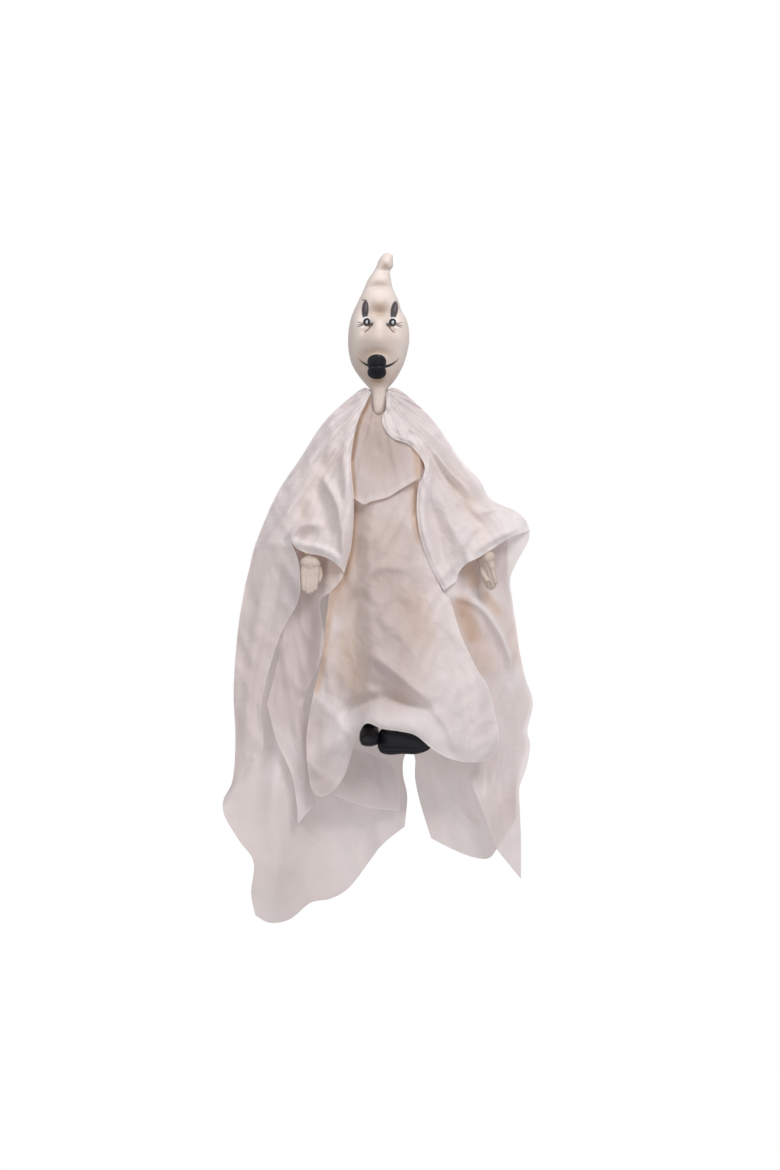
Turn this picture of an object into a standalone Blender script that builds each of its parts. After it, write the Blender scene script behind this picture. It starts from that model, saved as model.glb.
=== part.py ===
"""Hanging ghost doll: a cast head, hands and shoes on a stuffed cloth body, in a robe of thin muslin.

The doll hangs upright from the curled tip of its head, which is the origin. It faces -Y, and +Z is up.
Left and right are as seen from the front. Sizes are in millimetres until a mesh is made.
In the lists below a point is (x, z, d): d is how far it lies in front of the neck's axis.
"""

from math import copysign, cos, pi, sin

import bmesh
import bpy
import numpy as np
from mathutils import Vector
from mathutils.bvhtree import BVHTree

MM = 0.001

# Overall size, and the size at which the outlines below are drawn
DOLL_HEIGHT = 503.0
ROBE_WIDTH = 232.3
DRAWN_AT = (232.3, 503.0)

# Cloth
CLOTH_THICKNESS = 0.8
LAYER_GAP = 0.4
LAYER_MARGIN = 0.5
REACH = 5.0
STEEPEST_UNDER = 0.2
FOLD_DEPTH = 1.0

# Head
AXIS_X = -5.4
HEAD_FACES = 30
HEAD_LEVELS = 34
NECK_RADIUS = 5.4
NECK_END = -124.0

# Stuffed body
SEAT_GAP = 0.3
BODY_X = -3.0
TORSO_DEPTH = 20.0
ARM_RADIUS = 7.5
WRIST_RADIUS = 4.6
LEG_RADIUS = 15.0
ANKLE_RADIUS = 6.5

# Hands and shoes
HAND_WIDTH = 14.5
HAND_LENGTH = 31.0
HAND_THICKNESS = 9.0
THUMB_RADIUS = 1.9
SHOE_WIDTH = 14.5
SHOE_HEIGHT = 16.0
ANKLE_END = -344.0
SHOE_DROP_LEFT = 25.0
SHOE_DROP_RIGHT = 32.0

# Where the limbs end
WRIST_LEFT = (-56.5, -226.0, 18.0)
WRIST_RIGHT = (73.5, -222.0, 13.0)
ANKLE_LEFT = (-12.5, ANKLE_END, 13.0)
ANKLE_RIGHT = (3.5, ANKLE_END, 15.0)


def clear_scene():
    for obj in list(bpy.data.objects):
        bpy.data.objects.remove(obj, do_unlink=True)


def finish(name, colour, roughness):
    """A plain matte or satin finish."""
    material = bpy.data.materials.new(name)
    material.use_nodes = True
    shader = material.node_tree.nodes["Principled BSDF"]
    shader.inputs["Base Color"].default_value = (*colour, 1.0)
    shader.inputs["Roughness"].default_value = roughness
    shader.inputs["Metallic"].default_value = 0.0
    return material


def world(point):
    """The place in metres of a point (x, z, d), brought from its drawn size to the real one."""
    x, z, d = point
    return Vector((x * ROBE_WIDTH / DRAWN_AT[0] * MM, -d * MM, z * DOLL_HEIGHT / DRAWN_AT[1] * MM))


def make_object(name, bm, material):
    mesh = bpy.data.meshes.new(name)
    bm.to_mesh(mesh)
    bm.free()
    mesh.shade_smooth()
    mesh.materials.append(material)
    obj = bpy.data.objects.new(name, mesh)
    bpy.context.collection.objects.link(obj)
    return obj


def smooth(points, steps):
    """Points at even distances along a smooth curve through the given ones."""
    p = np.array(points, dtype=float)
    p = np.vstack([2 * p[0] - p[1], p, 2 * p[-1] - p[-2]])
    t = np.linspace(0.0, 1.0, 9)[:-1, None]
    curve = []
    for a, b, c, d in zip(p, p[1:], p[2:], p[3:]):
        curve.append(b + 0.5 * t * (c - a + t * (2 * a - 5 * b + 4 * c - d + t * (3 * (b - c) + d - a))))
    curve = np.vstack(curve + [p[-2:-1]])
    way = np.concatenate([[0.0], np.cumsum(np.linalg.norm(np.diff(curve, axis=0), axis=1))])
    stops = np.linspace(0.0, way[-1], steps + 1)
    return np.column_stack([np.interp(stops, way, axis) for axis in curve.T])


def join(*curves):
    """One curve out of several that follow on from each other."""
    return np.vstack([curves[0]] + [curve[1:] for curve in curves[1:]])


def patch(top, bottom, left, right):
    """A grid of points inside four edges that share their corners, row by row."""
    u = np.linspace(0.0, 1.0, len(top))[None, :, None]
    v = np.linspace(0.0, 1.0, len(left))[:, None, None]
    down = (1 - v) * top[None] + v * bottom[None]
    across = (1 - u) * left[:, None] + u * right[:, None]
    corners = (1 - v) * ((1 - u) * top[0] + u * top[-1]) + v * ((1 - u) * bottom[0] + u * bottom[-1])
    return down + across - corners


def fold(grid, path, width, height):
    """Raise a ridge along a path, or sink a crease where the height is negative."""
    way = smooth([(x, z, 0.0) for x, z in path], 24)[:, :2]
    best = np.full(grid.shape[:2], np.inf)
    along = np.zeros(grid.shape[:2])
    for i, (start, end) in enumerate(zip(way, way[1:])):
        run = end - start
        share = np.clip(((grid[..., :2] - start) @ run) / (run @ run), 0.0, 1.0)
        off = np.linalg.norm(grid[..., :2] - start - share[..., None] * run, axis=2)
        nearer = off < best
        best[nearer] = off[nearer]
        along[nearer] = ((i + share) / 24)[nearer]
    fade = np.clip(4 * along, 0.0, 1.0) * np.clip(4 * (1 - along), 0.0, 1.0)
    grid[..., 2] += FOLD_DEPTH * height * fade * np.exp(-(best / width) ** 2)


def gathers(grid, count, height, length):
    """Pleats that spread from the neck and fade out on the way down."""
    u = np.linspace(0.0, 1.0, grid.shape[1])[None, :]
    v = np.linspace(0.0, 1.0, grid.shape[0])[:, None]
    rise = np.minimum(v / 0.12, 1.0) * np.exp(-v / length)
    grid[..., 2] += FOLD_DEPTH * height * rise * np.sin(2 * pi * count * u) * np.sin(pi * u) ** 0.5


def surface_tree(objects):
    """The evaluated faces of some objects, for measuring how far forward they reach."""
    graph = bpy.context.evaluated_depsgraph_get()
    graph.update()
    corners = []
    faces = []
    for obj in objects:
        mesh = obj.evaluated_get(graph).to_mesh()
        first = len(corners)
        corners.extend(obj.matrix_world @ v.co for v in mesh.vertices)
        faces.extend([first + i for i in face.vertices] for face in mesh.polygons)
    return BVHTree.FromPolygons(corners, faces)


def drape(grid, below):
    """Lift a sheet off what lies behind it, easing the lift out over the cloth around."""
    tree = surface_tree(below)
    clear = CLOTH_THICKNESS / 2 + LAYER_GAP + LAYER_MARGIN
    lack = np.zeros(grid.shape[:2])
    around = [(0.0, 0.0, 0.0)]
    for reach in (0.5 * REACH, REACH):
        for k in range(8):
            around.append((reach * cos(pi * k / 4), reach * sin(pi * k / 4), STEEPEST_UNDER * reach))
    for j, row in enumerate(grid):
        for i, (x, z, d) in enumerate(row):
            for dx, dz, ease in around:
                hit = tree.ray_cast(world((x + dx, z + dz, 400.0)), Vector((0.0, 1.0, 0.0)))[0]
                if hit:
                    lack[j, i] = max(lack[j, i], -hit.y / MM - ease + clear - d)
    lift = lack.copy()
    for _ in range(6):
        padded = np.pad(lift, 1, mode="edge")
        near = padded[:-2, 1:-1] + padded[2:, 1:-1] + padded[1:-1, :-2] + padded[1:-1, 2:]
        lift = np.maximum(near / 4, lack)
    grid[..., 2] += lift


def sheet(name, grids, material):
    """One cloth from one or more grids that meet along shared edges, given its thickness."""
    bm = bmesh.new()
    shared = {}
    for grid in grids:
        rows = []
        for row in grid:
            places = [(round(x, 3), round(z, 3)) for x, z, _ in row]
            for place, point in zip(places, row):
                if place not in shared:
                    shared[place] = bm.verts.new(world(point))
            rows.append([shared[place] for place in places])
        for upper, lower in zip(rows, rows[1:]):
            for a, b, c, d in zip(upper, upper[1:], lower[1:], lower):
                bm.faces.new((a, d, c, b))
    obj = make_object(name, bm, material)
    solid = obj.modifiers.new("cloth", "SOLIDIFY")
    solid.thickness = CLOTH_THICKNESS * MM
    solid.offset = 0.0
    return obj


def lay(name, grids, below, material):
    """Drape each grid of a cloth over its own list of what lies behind it, and make the cloth."""
    for grid, objects in zip(grids, below):
        drape(grid, objects)
    return sheet(name, grids, material)


def loft(name, rings, material):
    """A closed body through rings of points, with a flat cap on each end."""
    bm = bmesh.new()
    rows = [[bm.verts.new(world(point)) for point in ring] for ring in rings]
    for upper, lower in zip(rows, rows[1:]):
        for i in range(len(upper)):
            k = (i + 1) % len(upper)
            bm.faces.new((upper[i], lower[i], lower[k], upper[k]))
    bm.faces.new(rows[0])
    bm.faces.new(reversed(rows[-1]))
    bmesh.ops.recalc_face_normals(bm, faces=bm.faces)
    return make_object(name, bm, material)


def level(z, centre, half_width, front, back, faces):
    """A level ring whose front may stand out further than its back."""
    ring = []
    for k in range(faces):
        angle = 2 * pi * k / faces
        reach = front if cos(angle) > 0 else back
        ring.append((centre + half_width * sin(angle), z, reach * cos(angle)))
    return ring


def tube_rings(path, radii, faces, steps, end=None):
    """Rings square to a path, whose radius runs smoothly through the given ones; the last may face an end."""
    stations = smooth([(*point, radius) for point, radius in zip(path, radii)], steps)
    centres = stations[:, :3]
    rings = []
    for k, (x, z, d, radius) in enumerate(stations.tolist()):
        before = centres[max(k - 1, 0)]
        after = centres[min(k + 1, steps)]
        way = Vector(end if end and k == steps else after - before).normalized()
        side = way.cross(Vector((0.0, 0.0, 1.0))).normalized()
        other = way.cross(side)
        ring = []
        for i in range(faces):
            angle = 2 * pi * i / faces
            ring.append(Vector((x, z, d)) + radius * (cos(angle) * side + sin(angle) * other))
        rings.append(ring)
    return rings


def cut(obj, cutter):
    """Take a guide's shape out of an object."""
    cutter.hide_render = True
    cutter.display_type = "WIRE"
    seat = obj.modifiers.new("seat", "BOOLEAN")
    seat.operation = "DIFFERENCE"
    seat.object = cutter


def merge(obj, guide):
    """Make a guide's shape one with an object."""
    guide.hide_render = True
    guide.display_type = "WIRE"
    union = obj.modifiers.new("union", "BOOLEAN")
    union.operation = "UNION"
    union.object = guide


def bump(x, z, x0, z0, across, high):
    return np.exp(-((x - x0) / across) ** 2 - ((z - z0) / high) ** 2)


def face_relief(x, z):
    """How far the modelled face stands out of the plain drop."""
    out = 2.6 * bump(x, z, -4.5, -38.5, 9.0, 6.5)
    out -= 1.6 * bump(x, z, -5.0, -25.5, 12.0, 2.5)
    out -= 1.2 * bump(x, z, -4.5, -47.5, 4.0, 3.5)
    for eye_x in (-15.5, 5.5):
        out -= 2.6 * bump(x, z, eye_x, -52.0, 4.5, 7.5)
    out += 1.8 * bump(x, z, -4.5, -57.0, 4.0, 6.0)
    out += 4.2 * bump(x, z, -5.5, -67.5, 16.0, 8.5)
    lips = ((x + 6.8) / 7.2) ** 2 + ((z + 85.5) / 9.2) ** 2
    out += 4.4 * np.exp(-lips ** 2) - 1.2 * bump(x, z, -6.8, -85.5, 8.0, 1.3)
    return out


def make_head(material):
    """Tip to chin: height, centre, half width, and depth in front and behind."""
    stations = [
        (0.0, 0.6, 1.2, 1.2, 1.2),
        (-1.5, 1.2, 3.6, 3.4, 3.4),
        (-5.0, 0.0, 5.2, 4.8, 4.8),
        (-10.0, -1.6, 5.8, 5.5, 5.5),
        (-14.0, -3.2, 6.6, 6.5, 6.5),
        (-20.0, -4.9, 8.6, 8.5, 9.0),
        (-27.0, -5.6, 10.9, 10.5, 11.5),
        (-35.0, -5.6, 14.6, 14.0, 15.0),
        (-43.0, -6.2, 17.8, 17.0, 18.5),
        (-50.0, -5.6, 21.0, 19.5, 21.0),
        (-58.0, -5.4, 22.6, 21.0, 22.5),
        (-67.0, -5.6, 22.9, 21.0, 22.5),
        (-75.0, -6.0, 21.8, 20.0, 21.0),
        (-83.0, -6.2, 19.6, 18.0, 18.5),
        (-90.0, -6.0, 16.0, 15.5, 15.0),
        (-96.0, -5.6, 11.8, 12.0, 11.0),
        (-100.5, -5.5, 7.8, 8.4, 7.8),
        (-103.5, AXIS_X, NECK_RADIUS, NECK_RADIUS, NECK_RADIUS),
    ]
    rings = []
    for z, centre, half_width, front, back in smooth(stations, HEAD_LEVELS):
        ring = []
        for k in range(HEAD_FACES):
            s = 2 * k / HEAD_FACES - 1
            angle = pi * s * (0.55 + 0.45 * abs(s))
            x = centre + half_width * sin(angle)
            reach = front if cos(angle) > 0 else back
            d = reach * cos(angle)
            if cos(angle) > 0:
                d += face_relief(x, z) * cos(angle) ** 0.5
            ring.append((x, z, d))
        rings.append(ring)
    rings.append([(x, NECK_END, d) for x, z, d in rings[-1]])
    return loft("head", rings, material)


def torso_rings(grow):
    """Neck to hips, grown by a gap where it serves as a cutter."""
    stations = [
        (NECK_END - SEAT_GAP, AXIS_X, 6.0, 6.0, 6.0),
        (-129.0, AXIS_X, 13.0, 10.0, 11.0),
        (-140.0, -4.0, 21.0, 0.75 * TORSO_DEPTH, 0.8 * TORSO_DEPTH),
        (-165.0, BODY_X, 27.0, TORSO_DEPTH, TORSO_DEPTH),
        (-200.0, BODY_X, 29.0, 1.05 * TORSO_DEPTH, TORSO_DEPTH),
        (-235.0, BODY_X, 33.0, 1.1 * TORSO_DEPTH, 1.1 * TORSO_DEPTH),
        (-258.0, BODY_X, 34.0, 1.1 * TORSO_DEPTH, 1.15 * TORSO_DEPTH),
        (-272.0, BODY_X, 26.0, 0.8 * TORSO_DEPTH, 0.8 * TORSO_DEPTH),
        (-276.0, BODY_X, 12.0, 0.4 * TORSO_DEPTH, 0.4 * TORSO_DEPTH),
    ]
    rings = []
    for z, centre, half_width, front, back in smooth(stations, 12):
        rings.append(level(z, centre, half_width + grow, front + grow, back + grow, 20))
    return rings


def make_body(material):
    """Torso, arms and legs: stuffed cloth, sewn on where they meet the torso."""
    torso = loft("torso", torso_rings(0.0), material)
    cutter = loft("torso_cutter", torso_rings(SEAT_GAP), material)
    limbs = {}
    arms = {
        "arm_left": [(-14.0, -142.0, 0.0), (-46.0, -164.0, 2.0), (-59.0, -194.0, 8.0), WRIST_LEFT],
        "arm_right": [(8.0, -142.0, 0.0), (44.0, -164.0, 2.0), (66.0, -196.0, 7.0), WRIST_RIGHT],
    }
    for name, path in arms.items():
        radii = [ARM_RADIUS, ARM_RADIUS, 0.9 * ARM_RADIUS, WRIST_RADIUS]
        end = Vector(path[3]) - Vector(path[2])
        limbs[name] = loft(name, tube_rings(path, radii, 12, 9, end), material)
    legs = {
        "leg_left": [(-18.0, -250.0, 0.0), (-21.0, -290.0, 8.0), (-17.0, -325.0, 12.0), ANKLE_LEFT],
        "leg_right": [(14.0, -250.0, 0.0), (24.0, -290.0, 10.0), (17.0, -325.0, 13.0), ANKLE_RIGHT],
    }
    for name, path in legs.items():
        radii = [LEG_RADIUS, LEG_RADIUS, 0.75 * LEG_RADIUS, ANKLE_RADIUS]
        limbs[name] = loft(name, tube_rings(path, radii, 14, 9, (0.0, -1.0, 0.0)), material)
    for limb in limbs.values():
        cut(limb, cutter)
    return torso, limbs


def make_hand(name, arm, wrist, turn, lean, thumb, material):
    """A cast hand that carries on from an arm: wrist, back of the hand, then four grooved fingers."""
    stations = [
        (0.00, 0.60, 0.90, 0.0),
        (0.12, 0.76, 0.92, 0.0),
        (0.30, 1.00, 1.00, 0.0),
        (0.46, 1.00, 0.92, 0.0),
        (0.56, 0.97, 0.84, 0.6),
        (0.62, 0.96, 0.78, 1.0),
        (0.80, 0.94, 0.70, 1.0),
        (0.93, 0.90, 0.60, 1.0),
        (1.00, 0.78, 0.30, 0.4),
    ]
    way = (Vector(wrist) - Vector(arm)).normalized()
    across = Vector((cos(turn), 0.0, sin(turn)))
    across = (across - across.dot(way) * way).normalized()
    out = way.cross(across)
    start = Vector(wrist) + SEAT_GAP * way
    rings = []
    for share, width, thick, groove in smooth(stations, 12).tolist():
        ring = []
        for k in range(24):
            angle = 2 * pi * k / 24
            side = copysign(abs(sin(angle)) ** 0.7, sin(angle))
            rise = copysign(abs(cos(angle)) ** 0.7, cos(angle))
            rise *= 1 - 0.16 * groove * (1 + cos(4 * pi * (side + 1)))
            reach = share * (1 - 0.10 * share ** 3 * side ** 2)
            ring.append(
                start + HAND_LENGTH * reach * way
                + (0.5 * HAND_WIDTH * width * side + lean * share) * across
                + 0.5 * HAND_THICKNESS * thick * rise * out
            )
        rings.append(ring)
    hand = loft(name, rings, material)
    path = [start + along * way + side * across + rise * out for along, side, rise in thumb]
    radii = [THUMB_RADIUS, 1.1 * THUMB_RADIUS, THUMB_RADIUS, 0.5 * THUMB_RADIUS]
    merge(hand, loft(name + "_thumb", tube_rings(path, radii, 10, 6), material))
    return hand


def make_shoe(name, heel, toe, point, ankle, material):
    """A cast shoe along a line from heel to toe, with its collar under the leg's end."""
    stations = [
        (0.00, 0.45, 0.45, 0.25),
        (0.06, 0.80, 0.85, 0.08),
        (0.22, 1.00, 1.00, 0.00),
        (0.45, 0.92, 0.92, 0.02),
        (0.70, 1.00 - 0.25 * point, 0.75, 0.00),
        (0.88, 0.85 - 0.40 * point, 0.60, 0.04 * (1 + point)),
        (0.97, 0.55 - 0.25 * point, 0.50, 0.09 * (1 + point)),
        (1.00, 0.25 - 0.12 * point, 0.42, 0.14 * (1 + point)),
    ]
    heel = Vector(heel)
    way = Vector(toe) - heel
    across = way.cross(Vector((0.0, 1.0, 0.0))).normalized()
    rings = []
    for share, width, top, sole in smooth(stations, 14).tolist():
        ring = []
        for k in range(16):
            angle = 2 * pi * k / 16
            side = sin(angle)
            rise = 0.5 + 0.5 * copysign(abs(cos(angle)) ** 0.6, cos(angle))
            height = SHOE_HEIGHT * (sole + (top - sole) * rise)
            beside = 0.5 * SHOE_WIDTH * width * side
            ring.append(heel + share * way + beside * across + Vector((0.0, height, 0.0)))
        rings.append(ring)
    shoe = loft(name, rings, material)
    collar = []
    for z, radius in ((ankle[1] - SEAT_GAP, ANKLE_RADIUS), (heel.y + 0.5 * SHOE_HEIGHT, 0.9 * ANKLE_RADIUS)):
        collar.append(level_ring(ankle, z, radius))
    merge(shoe, loft(name + "_collar", collar, material))
    return shoe


def level_ring(centre, z, radius):
    ring = []
    for k in range(14):
        angle = 2 * pi * k / 14
        ring.append((centre[0] + radius * sin(angle), z, centre[2] + radius * cos(angle)))
    return ring


def robe_back_grids():
    """Left and right halves share the seam down the back as far as the slit between the lobes."""
    columns = 11
    nape = (AXIS_X, -104, -NECK_RADIUS - SEAT_GAP - CLOTH_THICKNESS / 2)
    fork = (17, -372, -32)
    seam = smooth([nape, (-4, -125, -22), (-3, -170, -34), (0, -230, -40), (8, -300, -41), fork], 19)
    slit_left = smooth([fork, (13, -382, -27), (13, -394, -22), (16, -409, -17), (14, -431, -13)], 6)
    slit_right = smooth([fork, (22, -380, -27), (22, -395, -22), (26, -414, -16), (34, -440, -11)], 6)
    left = patch(
        smooth([(-15, -101, -4), (-10.5, -102.5, -7), nape], columns),
        smooth([(-98, -497, -3), (-87, -503, -6), (-72, -501, -10), (-57, -489, -14), (-42, -486, -16),
                (-28, -478, -16), (-3, -445, -15), (14, -431, -13)], columns),
        smooth([(-15, -101, -4), (-22, -104.5, -4), (-45, -125, -4), (-65, -155, -4), (-84, -185, -3),
                (-101, -230, -2), (-110, -275, -2), (-114, -325, -1), (-113, -365, 0), (-115, -395, 1), (-122, -416, 2),
                (-110, -440, 2), (-99, -456, 1), (-101, -480, -1), (-98, -497, -3)], 25),
        join(seam, slit_left),
    )
    right = patch(
        smooth([nape, (-0.5, -102.5, -7), (3.75, -101, -4)], columns),
        smooth([(34, -440, -11), (49, -448, -14), (65, -454, -14), (77, -455, -12), (84, -447, -9),
                (97, -425, -1)], columns),
        join(seam, slit_right),
        smooth([(3.75, -101, -4), (13.5, -105, -4), (34, -125, -4), (54, -155, -4), (75, -185, -3),
                (90, -210, -2),
                (91, -245, -1), (94, -262, -1), (99, -300, -1), (105, -325, -1), (108, -338, -1),
                (103, -358, 0), (105, -370, 1), (101, -385, 2), (98, -400, 2), (97, -425, -1)], 25),
    )
    for grid in (left, right):
        gathers(grid, 4, 2.4, 0.5)
    fold(left, [(-50, -190), (-78, -300), (-84, -420), (-80, -495)], 9, 7)
    fold(left, [(-20, -180), (-38, -300), (-52, -420), (-58, -485)], 9, -8)
    fold(left, [(0, -240), (-12, -340), (-18, -400), (-30, -470)], 8, 6)
    fold(right, [(30, -180), (44, -300), (42, -390), (48, -440)], 8, -7)
    fold(right, [(60, -200), (72, -310), (70, -390), (78, -448)], 8, 6)
    return [left, right]


def robe_left_grids():
    """The cape over the left shoulder, whose outer part carries on down as the wing."""
    shared = smooth([(-98, -218, -1), (-84, -217, 12), (-71, -217, 18)], 5)
    rim = smooth([(-71, -217, 18), (-59, -220, 23), (-49, -225, 25), (-40, -231, 26), (-31, -240, 25)], 8)
    cape = patch(
        smooth([(-15, -101, -2.5), (-13, -103, 0), (-11.2, -105, 2)], 13),
        join(shared, rim),
        smooth([(-15, -101, -2.5), (-22, -104.5, -3), (-45, -125, -3), (-65, -155, -3), (-84, -185, -2),
                (-98, -218, -1)], 14),
        smooth([(-11.2, -105, 2), (-15, -113, 9), (-22, -130, 16), (-26, -155, 22), (-24, -183, 26),
                (-24, -200, 27),
                (-26, -221, 27), (-31, -240, 25)], 14),
    )
    wing = patch(
        shared,
        smooth([(-122, -411, 4), (-119, -408, 5), (-114, -402, 5)], 5),
        smooth([(-98, -218, -1), (-101, -230, -1), (-110, -275, -1), (-114, -325, 0), (-113, -365, 1),
                (-115, -395, 2), (-122, -411, 4)], 14),
        smooth([(-71, -217, 18), (-66, -228, 17), (-64, -240, 16), (-65, -260, 14), (-80, -289, 10),
                (-93, -336, 8), (-92, -370, 7), (-104, -386, 6), (-114, -402, 5)], 14),
    )
    gathers(cape, 2, 1.4, 0.4)
    fold(cape, [(-42, -128), (-38, -150), (-49, -165), (-37, -185), (-32, -205), (-31, -238)], 3.5, 3.5)
    fold(cape, [(-73, -214), (-65, -208), (-56, -206), (-45, -206)], 4.0, 3.5)
    fold(cape, [(-30, -120), (-52, -150), (-70, -190), (-80, -215)], 5.0, 2.5)
    fold(wing, [(-86, -225), (-96, -280), (-103, -340), (-106, -385)], 5, 3)
    return [cape, wing]


def robe_right_grids():
    """The cape over the right shoulder, down to the rim of the sleeve mouth."""
    cape = patch(
        smooth([(0.4, -105, 2), (2.2, -103, 0), (3.75, -101, -2.5)], 13),
        smooth([(43, -253, 24), (52, -246, 22), (58, -236, 22), (66, -229, 22), (78, -223, 20),
                (92, -214, 14), (108, -208, 4)], 13),
        smooth([(0.4, -105, 2), (0.5, -112, 7), (0, -118, 10), (-3, -127, 12), (4, -139, 17), (18, -145, 22),
                (28, -158, 24), (28, -167, 25), (24, -176, 26), (23, -195, 27), (26, -215, 27),
                (33, -234, 26), (43, -253, 24)], 18),
        smooth([(3.75, -101, -2.5), (13.5, -105, -3), (35, -125, -3), (56, -155, -3), (70, -170, -2),
                (77, -183, -1),
                (86, -189, 2), (96, -193, 3), (104, -200, 4), (108, -208, 4)], 18),
    )
    gathers(cape, 2, 1.4, 0.4)
    fold(cape, [(2, -134), (18, -133), (27, -138), (37, -149), (48, -165), (60, -175), (72, -193)], 4.0, 4.0)
    fold(cape, [(72, -193), (84, -191), (98, -197), (106, -206)], 3.5, 3.0)
    fold(cape, [(38, -245), (40, -215), (30, -185)], 4.0, -3.0)
    return [cape]


def gown_grids():
    """The centre cloth, whose hem stands out over the shoes and hangs in a tongue on the left."""
    gown = patch(
        smooth([(-17, -128, 13), (-5, -127, 15), (7, -128, 13)], 17),
        smooth([(-59, -380, 12), (-56, -400, 9), (-49, -407, 9), (-40, -403, 10), (-31, -391, 13),
                (-26, -376, 19), (-20, -359, 28), (-14, -351, 34), (-3, -355, 37), (11, -357, 38),
                (22, -360, 38), (33, -369, 37), (44, -376, 34), (57, -380, 30), (70, -380, 24),
                (80, -377, 18)], 17),
        smooth([(-17, -128, 13), (-30, -160, 14), (-36, -200, 16), (-41, -245, 18), (-44, -272, 20),
                (-48, -305, 18), (-54, -330, 16), (-59, -360, 14), (-59, -380, 12)], 22),
        smooth([(7, -128, 13), (24, -150, 14), (32, -190, 16), (35, -225, 20), (40, -250, 21),
                (48, -262, 21), (56, -287, 22), (68, -312, 22), (76, -325, 22), (83, -354, 20),
                (84, -368, 19), (80, -377, 18)], 22),
    )
    fold(gown, [(-30, -262), (-18, -250), (-4, -236), (26, -239)], 4, 2.5)
    fold(gown, [(-12, -300), (8, -316), (34, -338)], 6, 5)
    fold(gown, [(-22, -322), (0, -330), (24, -344)], 5, -5)
    fold(gown, [(-58, -378), (-42, -360), (-22, -345), (-2, -342), (20, -344), (34, -350)], 5, 4.5)
    fold(gown, [(32, -336), (46, -354), (54, -376)], 5, 4.5)
    fold(gown, [(48, -262), (60, -300), (70, -340), (72, -375)], 5, 2.5)
    fold(gown, [(-24, -252), (-10, -268), (-2, -290)], 4, -2.0)
    fold(gown, [(-40, -270), (-44, -300), (-40, -340)], 4, 2.5)
    fold(gown, [(20, -236), (28, -262), (44, -290)], 4, -2.0)
    return [gown]


def bib_grids():
    """The short cowl on the chest, whose lower edge hangs in a swag."""
    bib = patch(
        smooth([(-13.5, -108, 5), (-11.5, -117, 6), (-5.4, -122, 6.3), (0, -117, 6), (2, -110, 5)], 9),
        smooth([(-27, -182, 26), (-17, -189, 27), (-11, -187, 28), (1, -184, 28), (11, -178, 28),
                (27, -168, 26)], 9),
        smooth([(-13.5, -108, 5), (-25, -132, 14), (-29, -158, 21), (-27, -182, 26)], 9),
        smooth([(2, -110, 5), (14, -132, 16), (24, -150, 22), (27, -168, 26)], 9),
    )
    fold(bib, [(-18, -120), (-20, -150), (-16, -182)], 3, 1.5)
    fold(bib, [(-8, -126), (-7, -142), (-8, -155)], 2.5, -1.5)
    return [bib]


def sleeve_back_left_grids():
    """Behind the left hand: the cuff's inside, lying on the gown, then the inner wing that hangs behind it."""
    shared = smooth([(-89, -338, 4), (-75, -334, 5), (-60, -329, 7)], 9)
    cuff = patch(
        smooth([(-86, -212, 3), (-70, -211, 3), (-56, -213, 4), (-44, -220, 10), (-33, -232, 20)], 9),
        shared,
        smooth([(-86, -212, 3), (-86, -235, 3), (-84, -260, 3), (-82, -289, 4), (-80, -302, 4),
                (-89, -338, 4)], 11),
        smooth([(-33, -232, 20), (-32, -243, 20), (-41, -254, 18), (-49, -262, 15), (-46, -288, 14),
                (-49, -306, 12), (-60, -329, 7)], 11),
    )
    wing = patch(
        shared,
        smooth([(-66, -428, 2), (-52, -412, -1), (-40, -407, -2), (-27, -412, -4), (-10, -417, -6),
                (10, -419, -7)], 9),
        smooth([(-89, -338, 4), (-82, -365, 4), (-71, -390, 4), (-67, -412, 3), (-66, -428, 2)], 9),
        smooth([(-60, -329, 7), (-61, -346, 5), (-40, -366, 0), (-12, -376, -5), (4, -384, -8),
                (10, -400, -8), (10, -419, -7)], 9),
    )
    fold(cuff, [(-74, -262), (-76, -300), (-70, -330)], 4, 3)
    fold(wing, [(-70, -342), (-62, -375), (-60, -410)], 4, 3)
    return [cuff, wing]


def sleeve_back_right_grids():
    """Behind the right hand: the sleeve's back layer, running down to the sharp corner."""
    sleeve = patch(
        smooth([(35, -240, 20), (50, -236, 14), (62, -225, 6), (80, -214, 2), (105, -210, 0)], 9),
        smooth([(83, -447, 5), (92, -458, 5), (101, -469, 6)], 9),
        smooth([(35, -240, 20), (40, -262, 20), (50, -290, 18), (57, -320, 14), (58, -350, 9),
                (60, -385, 6), (71, -414, 5), (83, -447, 5)], 18),
        smooth([(105, -210, 0), (106, -216, 0), (99, -230, 0), (93, -245, 0), (95, -262, 0), (98, -283, 0),
                (100, -298, 0),
                (104, -317, 0), (110, -337, 0), (106, -358, 1), (108, -369, 2), (105, -386, 3),
                (100, -400, 3), (100, -414, 4), (101, -439, 5), (101, -469, 5)], 18),
    )
    fold(sleeve, [(46, -256), (66, -262), (80, -280), (90, -300), (94, -322)], 5, 4)
    fold(sleeve, [(76, -330), (84, -370), (80, -400), (92, -450)], 5, 3)
    return [sleeve]


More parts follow.
